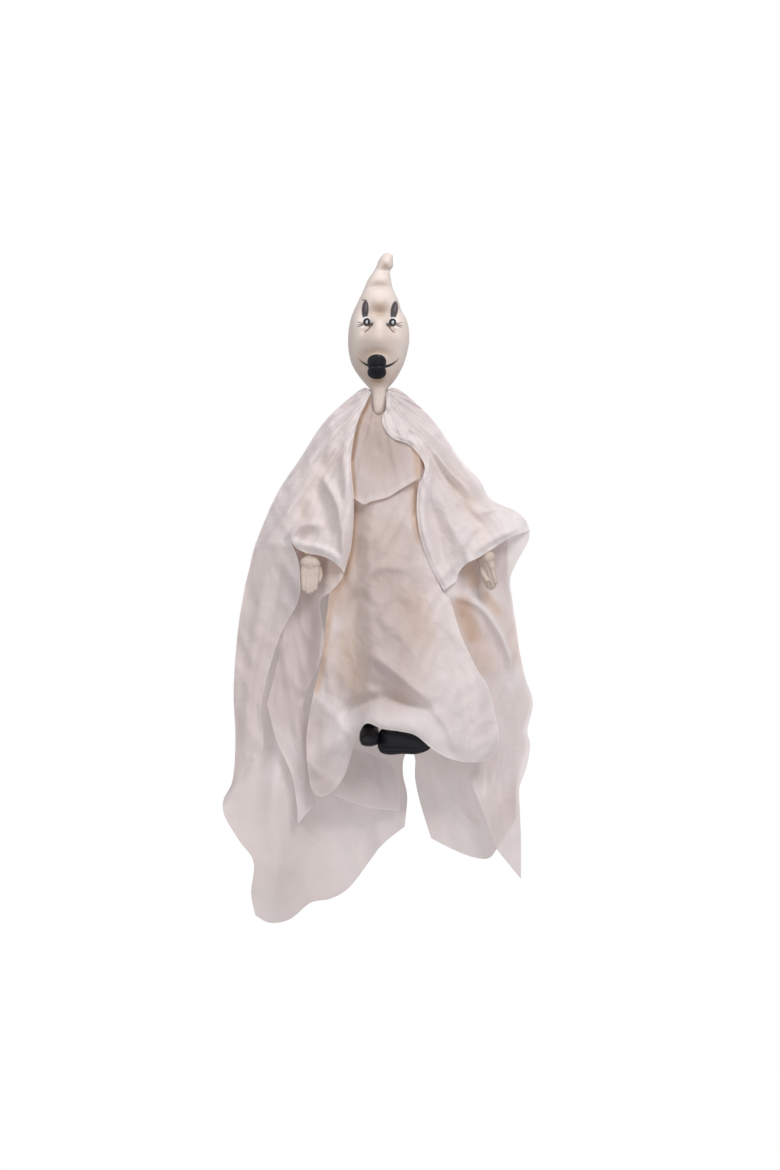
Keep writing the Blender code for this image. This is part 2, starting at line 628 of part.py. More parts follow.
def build():
    clear_scene()
    bisque = finish("bisque", (0.74, 0.65, 0.58), 0.6)
    cream = finish("cream_cloth", (0.72, 0.58, 0.45), 0.9)
    muslin = finish("muslin", (0.80, 0.75, 0.74), 0.9)
    black = finish("black_glaze", (0.012, 0.012, 0.015), 0.45)

    head = make_head(bisque)
    torso, limbs = make_body(cream)
    hand_left = make_hand(
        "hand_left", (-59.0, -194.0, 8.0), WRIST_LEFT, 0.0, -2.5,
        [(7.0, 4.0, -1.0), (11.0, 6.5, -2.0), (16.0, 6.5, -2.5), (20.0, 5.0, -2.5)], bisque,
    )
    hand_right = make_hand(
        "hand_right", (66.0, -196.0, 7.0), WRIST_RIGHT, 0.35 * pi, 1.0,
        [(7.0, -4.0, 1.0), (12.0, -6.5, 2.0), (18.0, -6.0, 2.5), (23.0, -4.0, 2.5)], bisque,
    )
    sole = ANKLE_END - SHOE_DROP_LEFT
    shoe_left = make_shoe("shoe_left", (-12.5, sole, 3.0), (-12.5, sole, 33.0), 0.0, ANKLE_LEFT, black)
    sole = ANKLE_END - SHOE_DROP_RIGHT
    shoe_right = make_shoe("shoe_right", (-4.5, sole, 12.0), (33.0, sole, 22.0), 1.0, ANKLE_RIGHT, black)

    legs = [limbs["leg_left"], limbs["leg_right"]]
    robe_back = sheet("robe_back", robe_back_grids(), muslin)
    sleeve_right = lay("sleeve_back_right", sleeve_back_right_grids(), [[robe_back, torso, *legs]], muslin)
    hem_rests_on = [robe_back, sleeve_right, torso, *legs, shoe_left, shoe_right]
    gown = lay("gown_front", gown_grids(), [hem_rests_on], muslin)
    bib = lay("bib", bib_grids(), [[torso, gown]], muslin)
    sleeve_left = lay("sleeve_back_left", sleeve_back_left_grids(), [[robe_back, gown], [robe_back]], muslin)
    below = [head, torso, robe_back, gown, bib]
    left = below + [sleeve_left, limbs["arm_left"], hand_left]
    lay("robe_left", robe_left_grids(), [left, left], muslin)
    right = below + [sleeve_right, limbs["arm_right"], hand_right]
    lay("robe_right", robe_right_grids(), [right], muslin)


build()
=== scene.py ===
"""Looks of the hanging ghost doll: cast head, hands and shoes, a stuffed body and layers of sheer muslin.

Lengths are in millimetres until a mesh is made. A point in the lists below is (x, z, d), where d is how far
it lies in front of the neck's axis; a fold or a mark on a cloth runs through points (x, z). The origin is
the curled tip of the head. Left and right are as seen from the front.
"""

from math import atan2, copysign, cos, exp, pi, radians, sin

import bmesh
import bpy
import mathutils
import numpy as np
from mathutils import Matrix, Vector
from mathutils.bvhtree import BVHTree
from mathutils.kdtree import KDTree

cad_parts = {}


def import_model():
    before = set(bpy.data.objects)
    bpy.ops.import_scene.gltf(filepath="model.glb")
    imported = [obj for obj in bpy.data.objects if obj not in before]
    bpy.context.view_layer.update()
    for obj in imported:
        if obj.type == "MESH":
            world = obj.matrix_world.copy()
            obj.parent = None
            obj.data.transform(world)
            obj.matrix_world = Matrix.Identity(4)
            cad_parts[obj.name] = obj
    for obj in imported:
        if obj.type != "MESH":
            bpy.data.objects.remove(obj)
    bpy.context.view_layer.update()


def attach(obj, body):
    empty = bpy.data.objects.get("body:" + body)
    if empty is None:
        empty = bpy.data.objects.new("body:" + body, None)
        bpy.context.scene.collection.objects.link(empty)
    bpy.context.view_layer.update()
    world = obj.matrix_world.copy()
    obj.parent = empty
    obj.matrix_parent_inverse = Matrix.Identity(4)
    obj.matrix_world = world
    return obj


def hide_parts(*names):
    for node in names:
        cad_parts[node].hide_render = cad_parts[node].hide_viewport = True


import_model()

MM = 0.001

# Camera: the photograph's frame and where the tip of the head lies in it
FRAME_PIXELS = (780, 1170)
MM_PER_PIXEL = 0.75
TIP_PIXEL = (386, 253)
CAMERA_DISTANCE = 2500.0
SENSOR_WIDTH = 36.0
CLIP_END = 20.0
FLOOR_SIZE = 2.0
FLOOR_HEIGHT = -1.2

# Cloth
FINE = 6  # points to each step of an edge
LAYER_GAP = 0.9  # kept between two layers
REACH = 3.0  # how far round a point what lies behind it counts
STEEPEST_UNDER = 0.5  # how steeply what lies behind may rise within that reach
SPREADS = 40  # how often a lift is spread over the cloth around
RAY_START = 400.0  # in front of everything
RIM_WIDTH = 1.3
WARM_GAP = 2.0  # up to this far from the stuffed body a cloth gets the most painted warm light

# Head, body and shoes
AXIS_X = -5.4
NECK_RADIUS = 5.4
NECK_FRONT = 7.5
NECK_END = -124.0
SEAT_GAP = 0.3
BODY_X = -3.0
TORSO_DEPTH = 20.0
ARM_RADIUS = 7.5
WRIST_RADIUS = 4.6
LEG_RADIUS = 15.0
ANKLE_RADIUS = 6.5
WRIST_LEFT = (-56.5, -226, 18)
WRIST_RIGHT = (73.5, -222, 13)
ANKLE_LEFT = (-12.5, -344, 13)
ANKLE_RIGHT = (3.5, -344, 15)
SHOE_WIDTH = 14.5
SHOE_HEIGHT = 16.0
HAND_VOXEL = 0.42

# Faces round a ring, and rings along the head
HEAD_FACES = 144
HEAD_RINGS = 190
ROD_FACES = 16
SHOE_FACES = 56
COLLAR_FACES = 40


# Shader helpers

class Shader:
    """The nodes of one material, or of the world."""

    def __init__(self, owner):
        owner.use_nodes = True
        self.nodes, self.links = owner.node_tree.nodes, owner.node_tree.links
        self.nodes.clear()

    def add(self, kind, inputs, **settings):
        """A new node. An input is a plain value, a socket, or a node whose first output is meant."""
        made = self.nodes.new("ShaderNode" + kind)
        for key, value in settings.items():
            setattr(made, key, value)
        for key, value in inputs.items():
            if isinstance(value, bpy.types.Node):
                value = value.outputs[0]
            if isinstance(value, bpy.types.NodeSocket):
                self.links.new(value, made.inputs[key])
            else:
                made.inputs[key].default_value = value
        return made

    def maths(self, operation, a, b, clamp=False):
        return self.add("Math", {0: a, 1: b}, operation=operation, use_clamp=clamp)

    def blend(self, share, first, second):
        made = self.add("Mix", {"Factor": share, "A": first, "B": second}, data_type="RGBA")
        return made.outputs["Result"]

    def noise(self, place, scale, detail=3.0, stretch=(1.0, 1.0, 1.0)):
        stretched = self.add("Mapping", {"Vector": place, "Scale": stretch})
        made = self.add("TexNoise", {"Vector": stretched, "Scale": scale, "Detail": detail})
        return made.outputs["Fac"]

    def ramp(self, value, low, high, to_low=0.0, to_high=1.0):
        limits = {"From Min": low, "From Max": high, "To Min": to_low, "To Max": to_high}
        made = self.add("MapRange", {"Value": value, **limits}, interpolation_type="SMOOTHSTEP")
        return made.outputs["Result"]

    def bump(self, height, distance, strength=1.0):
        return self.add("Bump", {"Height": height, "Distance": distance, "Strength": strength})

    def attribute(self, name):
        return self.add("Attribute", {}, attribute_name=name).outputs["Fac"]

    def coordinates(self, kind="Object"):
        return self.add("TexCoord", {}).outputs[kind]

    def coat(self, tone, normal, roughness, specular):
        return self.add("BsdfPrincipled", {
            "Base Color": tone, "Normal": normal, "Roughness": roughness, "Specular IOR Level": specular,
        })

    def output(self, surface, kind="Material"):
        self.add("Output" + kind, {"Surface": surface})


def new_material(name):
    material = bpy.data.materials.new(name)
    return material, Shader(material)


def muslin_material():
    """Thin open-woven cotton: light goes through it, and what lies behind shows faintly."""
    material, shader = new_material("muslin")
    uv = shader.coordinates("UV")
    weft = shader.noise(uv, 1, 2, (60, 900, 1))
    warp = shader.noise(uv, 1, 2, (900, 60, 1))
    threads = shader.maths("ADD", weft, warp)
    tone = shader.blend(shader.ramp(threads, 0.7, 1.3), (0.81, 0.73, 0.73, 1), (0.84, 0.76, 0.765, 1))
    cloudy = shader.ramp(shader.noise(uv, 45), 0.35, 0.7, 0, 0.35)
    tone = shader.blend(cloudy, tone, (0.80, 0.72, 0.70, 1))
    dense = shader.ramp(threads, 0.6, 1.4, 0.86, 0.90)
    # Attributes that the cloths carry: how far each goes towards its colour, and what it adds to the density
    for name, strength, colour, denser in (
        # Free edges: a denser rolled hem, brightened further as a painted highlight
        ("rim", 0.3, (0.92, 0.89, 0.90, 1), 0.08),
        # Doubled cloth along hems and fold ridges: denser where doubled, and brightened as a painted highlight
        ("doubled", 0.5, (0.90, 0.86, 0.87, 1), 0.14),
        # Painted shade on the recessed middle cloths and towards the bottom of the back
        ("worn", 1, (0.55, 0.445, 0.42, 1), 0),
        # Painted warm light from the stuffed body close behind the cloth
        ("painted_warm_bounce", 0.7, (0.80, 0.67, 0.57, 1), 0),
        # Painted warm shade in the gaps between layers and in deep folds
        ("tan", 0.85, (0.63, 0.44, 0.32, 1), 0),
        # Painted dark shade in the narrowest gaps between layers
        ("crevice", 0.85, (0.33, 0.22, 0.16, 1), 0),
    ):
        mask = shader.attribute(name)
        tone = shader.blend(shader.maths("MULTIPLY", mask, strength), tone, colour)
        if denser:
            dense = shader.maths("ADD", dense, shader.maths("MULTIPLY", mask, denser), clamp=True)
    cloth = shader.coat(tone, shader.bump(threads, 0.00006, 0.6), 0.9, 0.2)
    cloth.inputs["Sheen Weight"].default_value = 0.15
    cloth.inputs["Sheen Roughness"].default_value = 0.5
    through = shader.add("BsdfTranslucent", {"Color": tone})
    lit = shader.add("MixShader", {0: 0.2, 1: cloth, 2: through})
    clear = shader.add("BsdfTransparent", {})
    shader.output(shader.add("MixShader", {0: dense, 1: clear, 2: lit}))
    return material


def cream_material():
    """Plain cream cotton over the stuffing."""
    material, shader = new_material("cream_cotton")
    place = shader.coordinates()
    soft = shader.noise(place, 60, 4)
    weave = shader.noise(place, 1400, 1)
    tone = shader.blend(soft, (0.80, 0.64, 0.47, 1), (0.72, 0.55, 0.38, 1))
    shader.output(shader.coat(tone, shader.bump(weave, 0.0002), 0.95, 0.15))
    return material


def glaze_material():
    """Black satin paint on the shoes."""
    material, shader = new_material("black_paint")
    place = shader.coordinates()
    worn = shader.noise(place, 120, 5)
    tone = shader.blend(worn, (0.004, 0.004, 0.006, 1), (0.010, 0.010, 0.013, 1))
    normal = shader.bump(shader.noise(place, 700), 0.0001, 0.5)
    shader.output(shader.coat(tone, normal, shader.ramp(worn, 0.3, 0.7, 0.38, 0.55), 0.22))
    return material


def bisque_tone(shader, light, dark):
    """The bare casting: beige with faint mottling and a fine grain."""
    place = shader.coordinates()
    tone = shader.blend(shader.noise(place, 90, 5), light, dark)
    return place, tone, shader.bump(shader.noise(place, 1500, 2), 0.00008, 0.7)


def bisque_material():
    """The unpainted hands."""
    material, shader = new_material("bisque")
    _, tone, normal = bisque_tone(shader, (0.58, 0.485, 0.425, 1.0), (0.525, 0.425, 0.37, 1.0))
    shader.output(shader.coat(tone, normal, 0.62, 0.35))
    return material


def ellipse(shader, place, x, z, half_width, half_height, turn=0.0, soft=0.12):
    """1 inside an ellipse on the face and 0 outside it; turn leans its top to the right, in degrees."""
    mapped = shader.add("Mapping", {
        "Vector": place,
        "Location": (x * MM, 0.0, z * MM),
        "Rotation": (0.0, radians(turn), 0.0),
        "Scale": (half_width * MM, 1000.0, half_height * MM),
    }, vector_type="TEXTURE")
    length = shader.add("VectorMath", {0: mapped}, operation="LENGTH").outputs["Value"]
    return shader.ramp(length, 1 - soft, 1 + soft, 1, 0)


def stroke(shader, place, outer, bite):
    """A tapering brush stroke: one ellipse less another."""
    cut = shader.maths("SUBTRACT", 1, ellipse(shader, place, *bite))
    return shader.maths("MULTIPLY", ellipse(shader, place, *outer), cut)


BLACK = (0.006, 0.006, 0.009, 1)
LID_GREY = (0.06, 0.048, 0.052, 1)
EYE_WHITE = (0.80, 0.80, 0.82, 1)
LID_LIGHT = (0.22, 0.19, 0.20, 1)
BROWN_LINE = (0.10, 0.055, 0.045, 1)
BROWN_SHADE = (0.40, 0.27, 0.19, 1)
NECK_TONE = (0.54, 0.46, 0.41, 1)


def face_material():
    """The casting with its painted eyes, smile line and shading."""
    material, shader = new_material("painted_bisque")
    place, tone, normal = bisque_tone(shader, (0.78, 0.69, 0.64, 1.0), (0.70, 0.60, 0.55, 1.0))
    plain = tone

    def shade(mask, colour, strength=1.0):
        nonlocal tone
        tone = shader.blend(shader.maths("MULTIPLY", mask, strength), tone, colour)

    def spot(colour, *shape, strength=1.0):
        shade(ellipse(shader, place, *shape), colour, strength)

    # Brown in the hollows, under the snout, under the chin and under the tip: partly a brown wash on the
    # casting, partly painted shade
    for x, z, half_width, half_height, soft, strength in (
        (-4.5, -25, 8, 3, 0.8, 0.25),
        (-4.5, -43.8, 6.5, 6.5, 0.9, 0.7),
        (-4.8, -66, 13, 9, 0.9, 0.34),
        (-0.4, -10.6, 2.8, 2.6, 0.8, 0.6),
        (-6.4, -93, 15, 11, 0.9, 0.5),
        (-6.6, -75.5, 8.5, 3, 0.8, 0.6),
        (-6.2, -96, 5, 2, 0.7, 0.8),
        (-17, -79, 4.5, 5.5, 0.9, 0.5),
        (5.5, -80, 4, 5, 0.9, 0.25),
    ):
        spot(BROWN_SHADE, x, z, half_width, half_height, 0, soft, strength=strength)

    # Smile line, rising and thinning towards its ends
    outer, bite = (-5.5, -72.6, 17.0, 15.5, 0.0, 0.025), (-5.5, -70.35, 19.0, 15.5, 0.0, 0.025)
    shade(stroke(shader, place, outer, bite), BLACK)
    # The neck peg is painted a darker tone, with a painted shadow at its foot where it goes into the collar
    spot(NECK_TONE, -5.4, -114, 9, 10.5, 0, 0.3, strength=0.4)
    spot(BROWN_SHADE, -5.4, -121.5, 7, 2, 0, 0.6, strength=0.4)

    # Eyes: lid, white band, iris with a glint, lashes and the lines from the inner corner
    for side, lid, band, iris in (
        (-1, (-15.5, -43.7, 2.6, 7.3, 2), (-15, -51.3, 2.3, 2.4, 2), (-14.4, -53.2, 2.8, 3.25, 0)),
        (1, (6.2, -44, 2.7, 7.3, 10), (5.6, -51.6, 2.4, 2.4, 8), (5, -53.4, 2.9, 3.25, 6)),
    ):
        x, z = iris[:2]
        spot(LID_GREY, *lid, 0.15)
        spot(LID_LIGHT, lid[0] + 0.7, lid[1] + 1.8, 0.8, 3.2, lid[4], 0.5, strength=0.5)
        spot(EYE_WHITE, *band, 0.12)
        spot(BLACK, *iris, 0.14)
        spot(BLACK, x - 3 * side, z - 2.3, 2.2, 1.3, 38 * side, 0.3, strength=0.95)
        spot(EYE_WHITE, x + 0.1, z + 0.2, 0.75, 1.2, 10, 0.2)
        spot(BLACK, x, z - 0.1, 0.28, 0.6, 10, 0.3)
        outer = (x - 1.2 * side, z - 4.6, 1.1, 4.2, -42.0 * side)
        inner = (x - 0.3 * side, z - 4.0, 1.1, 4.4, -42.0 * side)
        shade(stroke(shader, place, outer, inner), BROWN_LINE, 0.9)
        # Painted shade under the eye, along the crease
        spot(BROWN_SHADE, x - 0.5 * side, z - 4.6, 3.6, 1.5, 30 * side, 0.8, strength=0.35)
        for rise, lean, long in ((-0.4, -16.0, 2.8), (-1.7, 8.0, 3.2), (-2.7, 20.0, 2.6)):
            spot(BROWN_LINE, x + 4.5 * side, z + rise, long, 0.38, lean * side, 0.4, strength=0.95)
    spot(BROWN_LINE, -16.2, -36.2, 2, 0.42, 8, 0.3)
    # Painted shade under the curl of the tip
    spot(BROWN_SHADE, 0.6, -14, 4, 2.2, 0, 0.8, strength=0.45)

    # Only the front is painted
    depth = shader.add("SeparateXYZ", {0: place}).outputs["Y"]
    tone = shader.blend(shader.ramp(depth, -0.008, -0.004, 1, 0), plain, tone)

    lips = shader.attribute("lips")
    tone = shader.blend(shader.ramp(lips, 0.42, 0.52), tone, BLACK)
    roughness = shader.ramp(lips, 0.4, 0.5, 0.62, 0.42)
    specular = shader.ramp(lips, 0.4, 0.5, 0.35, 0.2)
    shader.output(shader.coat(tone, normal, roughness, specular))
    return material


# Geometry helpers

def world(point):
    """The place in metres of a point (x, z, d)."""
    x, z, d = point
    return Vector((x * MM, -d * MM, z * MM))


def make_object(name, bm, material, slot, *replaced):
    mesh = bpy.data.meshes.new(name)
    bm.to_mesh(mesh)
    bm.free()
    mesh.shade_smooth()
    mesh.materials.append(material)
    obj = bpy.data.objects.new(name, mesh)
    bpy.context.collection.objects.link(obj)
    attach(obj, "root")
    if replaced:
        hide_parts(*replaced)
    return obj


def smooth(points, steps):
    """Points at even distances along a smooth curve through the given ones."""
    p = np.array(points, dtype=float)
    p = np.vstack([2 * p[0] - p[1], p, 2 * p[-1] - p[-2]])
    t = np.linspace(0.0, 1.0, 17)[:-1, None]
    curve = []
    for a, b, c, d in zip(p, p[1:], p[2:], p[3:]):
        curve.append(b + 0.5 * t * (c - a + t * (2 * a - 5 * b + 4 * c - d + t * (3 * (b - c) + d - a))))
    curve = np.vstack(curve + [p[-2:-1]])
    way = np.concatenate([[0.0], np.cumsum(np.linalg.norm(np.diff(curve, axis=0), axis=1))])
    stops = np.linspace(0.0, way[-1], steps + 1)
    return np.column_stack([np.interp(stops, way, axis) for axis in curve.T])


def edge(points, steps):
    return smooth(points, steps * FINE)


def join(*curves):
    """One curve out of several that follow on from each other."""
    return np.vstack([curves[0]] + [curve[1:] for curve in curves[1:]])


def patch(across, down, top, bottom, left, right):
    """A grid of points, row by row, inside four edges that share their corners, with its steps each way.

    Top and bottom run from corner to corner; left and right hold only the points between the corners.
    An edge that is a curve made before is taken as it is.
    """
    top, bottom = (side if isinstance(side, np.ndarray) else edge(side, across) for side in (top, bottom))
    left, right = (
        side if isinstance(side, np.ndarray) else edge([top[end], *side, bottom[end]], down)
        for side, end in ((left, 0), (right, -1))
    )
    u = np.linspace(0.0, 1.0, len(top))[None, :, None]
    v = np.linspace(0.0, 1.0, len(left))[:, None, None]
    upright = (1 - v) * top[None] + v * bottom[None]
    sideways = (1 - u) * left[:, None] + u * right[:, None]
    corners = (1 - v) * ((1 - u) * top[0] + u * top[-1]) + v * ((1 - u) * bottom[0] + u * bottom[-1])
    return upright + sideways - corners


def roll(grid, side, width, depth):
    """Curl the first or last column back, so that the edge looks folded over."""
    run = np.linalg.norm(grid - (grid[:, :1] if side == "left" else grid[:, -1:]), axis=2)
    v = np.linspace(0.0, 1.0, grid.shape[0])[:, None]
    grid[..., 2] -= depth * np.exp(-(run / width) ** 2) * np.minimum(v / 0.15, 1.0)


def off_path(grid, path):
    """How far each point of a grid lies from a path, and how far along the path."""
    way = smooth([(x, z, 0.0) for x, z in path], 24)[:, :2]
    best = np.full(grid.shape[:2], np.inf)
    along = np.zeros(grid.shape[:2])
    for i, (start, end) in enumerate(zip(way, way[1:])):
        run = end - start
        share = np.clip(((grid[..., :2] - start) @ run) / (run @ run), 0.0, 1.0)
        off = np.linalg.norm(grid[..., :2] - start - share[..., None] * run, axis=2)
        nearer = off < best
        best[nearer] = off[nearer]
        along[nearer] = ((i + share) / 24)[nearer]
    return best, along


def fold(grid, *lines):
    """Raise a ridge along each line (width, height, *path), or sink a crease where the height is negative."""
    for width, height, *path in lines:
        best, along = off_path(grid, path)
        fade = np.clip(4 * along, 0.0, 1.0) * np.clip(4 * (1 - along), 0.0, 1.0)
        fade = fade * fade * (3 - 2 * fade)
        grid[..., 2] += height * fade * np.exp(-(best / width) ** 2)


def gathers(grid, count, height, length):
    """Pleats that spread from the neck and fade out on the way down."""
    u = np.linspace(0.0, 1.0, grid.shape[1])[None, :]
    v = np.linspace(0.0, 1.0, grid.shape[0])[:, None]
    rise = np.minimum(v / 0.08, 1.0) * np.exp(-v / length)
    grid[..., 2] += height * rise * np.sin(2 * pi * count * u) * np.sin(pi * u) ** 0.5


def pleats(grid, seed, turns, length, height, grow=0.0):
    """Uneven folds that fan out from the neck; they deepen on the way down where grow is above zero."""
    for row in grid:
        for point in row:
            x, drop = point[0] - AXIS_X, -100.0 - point[1]
            far = (x * x + drop * drop) ** 0.5
            value = mathutils.noise.noise(Vector((turns * atan2(x, max(drop, 1.0)), far / length, seed)))
            point[2] += height * value * (1 + grow * far / 400.0) * min(far / 25.0, 1.0)


def crumple(grid, seed, across, along, height, lean=0.0):
    """Small uneven wrinkles, longer one way than the other."""
    c, s = cos(radians(lean)), sin(radians(lean))
    for row in grid:
        for point in row:
            a = (c * point[0] + s * point[1]) / across
            b = (c * point[1] - s * point[0]) / along
            ridge = 1 - 2 * abs(mathutils.noise.noise(Vector((a, b, seed))))
            point[2] += height * ridge


def surface_tree(objects):
    graph = bpy.context.evaluated_depsgraph_get()
    graph.update()
    corners = []
    faces = []
    for obj in objects:
        mesh = obj.evaluated_get(graph).to_mesh()
        first = len(corners)
        corners.extend(obj.matrix_world @ v.co for v in mesh.vertices)
        faces.extend([first + i for i in face.vertices] for face in mesh.polygons)
    return BVHTree.FromPolygons(corners, faces)


def between(values):
    """A grid with one more value between each two of the given one."""
    rows = np.repeat(values, 2, axis=0)[:-1]
    rows[1::2] = (values[:-1] + values[1:]) / 2
    both = np.repeat(rows, 2, axis=1)[:, :-1]
    both[:, 1::2] = (rows[:, :-1] + rows[:, 1:]) / 2
    return both


def drape(grid, below):
    """Lift a sheet off what lies behind it, easing the lift out over the cloth around."""
    tree = surface_tree(below)
    coarse = grid[::2, ::2]
    lack = np.zeros(coarse.shape[:2])
    around = [(0.0, 0.0, 0.0)]
    for k in range(6):
        around.append((REACH * cos(pi * k / 3), REACH * sin(pi * k / 3), STEEPEST_UNDER * REACH))
    ahead = Vector((0.0, 1.0, 0.0))
    for j, row in enumerate(coarse.tolist()):
        for i, (x, z, d) in enumerate(row):
            for dx, dz, ease in around:
                hit = tree.ray_cast(world((x + dx, z + dz, RAY_START)), ahead)[0]
                if hit:
                    lack[j, i] = max(lack[j, i], -hit.y / MM - ease + LAYER_GAP - d)
    lift = lack.copy()
    for _ in range(SPREADS):
        padded = np.pad(lift, 1, mode="edge")
        near = padded[:-2, 1:-1] + padded[2:, 1:-1] + padded[1:-1, :-2] + padded[1:-1, 2:]
        lift = np.maximum(near / 4, lack)
    grid[..., 2] += between(lift)


def rim_of(mesh):
    """1 on the free edge of a cloth, falling to 0 within the rim's width."""
    uses = {}
    for face in mesh.polygons:
        for key in face.edge_keys:
            uses[key] = uses.get(key, 0) + 1
    edge = {v for key, count in uses.items() if count == 1 for v in key}
    tree = KDTree(len(edge))
    for v in edge:
        tree.insert(mesh.vertices[v].co, v)
    tree.balance()
    return [max(0.0, 1.0 - tree.find(v.co)[2] / (RIM_WIDTH * MM)) for v in mesh.vertices]


def attribute(obj, name, values):
    made = obj.data.attributes.new(name, "FLOAT", "POINT")
    made.data.foreach_set("value", values)


def sheet(name, grids, material):
    """One cloth from one or more grids that meet along shared edges."""
    bm = bmesh.new()
    uv_layer = bm.loops.layers.uv.new("UVMap")
    shared = {}
    for grid in grids:
        rows = []
        across = np.linalg.norm(np.diff(grid, axis=1), axis=2).mean() * MM
        down = np.linalg.norm(np.diff(grid, axis=0), axis=2).mean() * MM
        for row in grid.tolist():
            places = [(round(x, 3), round(z, 3)) for x, z, _ in row]
            for place, point in zip(places, row):
                if place not in shared:
                    shared[place] = bm.verts.new(world(point))
            rows.append([shared[place] for place in places])
        for j, (upper, lower) in enumerate(zip(rows, rows[1:])):
            for i in range(len(upper) - 1):
                corners = (upper[i], lower[i], lower[i + 1], upper[i + 1])
                if len(set(corners)) < 4:
                    continue
                face = bm.faces.new(corners)
                for loop, (di, dj) in zip(face.loops, ((0, 0), (0, 1), (1, 1), (1, 0))):
                    loop[uv_layer].uv = ((i + di) * across, (j + dj) * down)
    obj = make_object("muslin_" + name, bm, material, "muslin", name)
    # A denser rolled hem along the free edges, which the material also brightens as a painted highlight
    attribute(obj, "rim", rim_of(obj.data))
    return obj


def mark(obj, name, *paths):
    """Write an attribute that is strong along paths (width, strength, *path) and fades out at their width."""
    places = np.array([[(v.co.x / MM, v.co.z / MM, 0.0) for v in obj.data.vertices]])
    values = np.zeros(len(obj.data.vertices))
    for width, strength, *path in paths:
        values = np.maximum(values, strength * np.exp(-(off_path(places, path)[0][0] / width) ** 3))
    attribute(obj, name, values)


def warm_over(obj, body, reach, strength):
    """Painted warm light from the stuffed body behind: strongest where the cloth lies near it, falling off as
    the gap grows.
    """
    tree = surface_tree(body)
    values = []
    for v in obj.data.vertices:
        hit = tree.ray_cast(v.co - Vector((0.0, WARM_GAP * MM, 0.0)), Vector((0.0, 1.0, 0.0)))
        values.append(strength * exp(-max(hit[3] / MM - WARM_GAP, 0.0) / reach) if hit[0] else 0.0)
    attribute(obj, "painted_warm_bounce", values)


def lay(name, grids, below, material):
    """Drape each grid of a cloth over its own list of what lies behind it, and make the cloth."""
    for grid, objects in zip(grids, below):
        if objects:
            drape(grid, objects)
    return sheet(name, grids, material)


def skin(bm, rings):
    """A closed skin through rings of points, with a flat cap on each end."""
    rows = [[bm.verts.new(world(point)) for point in ring] for ring in rings]
    for upper, lower in zip(rows, rows[1:]):
        for i in range(len(upper)):
            k = (i + 1) % len(upper)
            bm.faces.new((upper[i], lower[i], lower[k], upper[k]))
    bm.faces.new(rows[0])
    bm.faces.new(reversed(rows[-1]))


def loft(name, rings, material, slot, *replaced):
    bm = bmesh.new()
    skin(bm, rings)
    bmesh.ops.recalc_face_normals(bm, faces=bm.faces)
    return make_object(name, bm, material, slot, *replaced)


# Head

def bump(x, z, x0, z0, across, high):
    return np.exp(-((x - x0) / across) ** 2 - ((z - z0) / high) ** 2)


def mouth(x, z):
    """The raised lips: about 1 inside their outline and 0 outside it, with a notch between the two."""
    across = abs((x + 6.8) / 7.3)
    upper = across ** 2.6 + abs((z + 82.3 + 0.8 * across ** 2) / 4.9) ** 2.6
    lower = across ** 2.2 + abs((z + 90.3) / 5.4) ** 2.2
    middle = (1.06 * across) ** 2 + ((z + 86.2) / 4.2) ** 2
    return np.exp(-np.minimum(np.minimum(upper, lower), middle) ** 3)


def face_relief(x, z):
    """How far the modelled face stands out of the plain drop."""
    out = 4.6 * bump(x, z, -4.5, -37.5, 8.0, 6.0)
    out -= 2.6 * bump(x, z + 0.03 * (x + 4.8) ** 2, -5.0, -25.6, 12.0, 2.4)
    out += 1.2 * bump(x, z, -3.5, -19.5, 8.0, 3.0)
    out += 2.4 * bump(x, z, 1.2, -7.0, 4.5, 4.5) - 1.6 * bump(x, z, 0.5, -13.6, 4.5, 1.6)
    out -= 3.2 * bump(x, z, -4.5, -46.6, 5.5, 3.4)
    for side, eye_x in ((-1, -15.2), (1, 5.2)):
        out -= 3.4 * bump(x, z, eye_x, -51.0, 4.5, 7.5)
        out -= 1.2 * bump(x, z, eye_x - 3.6 * side, -55.5, 2.2, 2.6)
        out += 0.9 * bump(x, z, eye_x, -43.0, 2.6, 5.0)
        out += 0.9 * bump(x, z, eye_x - 0.3 * side, -51.8, 2.6, 3.0)
        out += 1.0 * bump(x, z, eye_x + 0.6 * side, -57.5, 4.0, 1.6)
    out += 2.6 * bump(x, z, -4.9, -56.5, 5.2, 7.5)
    out += 6.2 * bump(x, z, -5.5, -66.8, 11.5, 8.2)
    for side in (-1, 1):
        right, up = side * (x + 4.9) - 9.5, z + 58.6
        out -= 2.2 * np.exp(-((0.68 * right - 0.73 * up) / 6.0) ** 2 - ((0.73 * right + 0.68 * up) / 1.9) ** 2)
    lips = ((x + 6.8) / 7.2) ** 2 + ((z + 86.0) / 9.0) ** 2
    out += 3.2 * np.exp(-lips ** 2) + 1.8 * mouth(x, z) - 0.9 * bump(x, z, -6.8, -86.2, 8.0, 0.7)
    return out


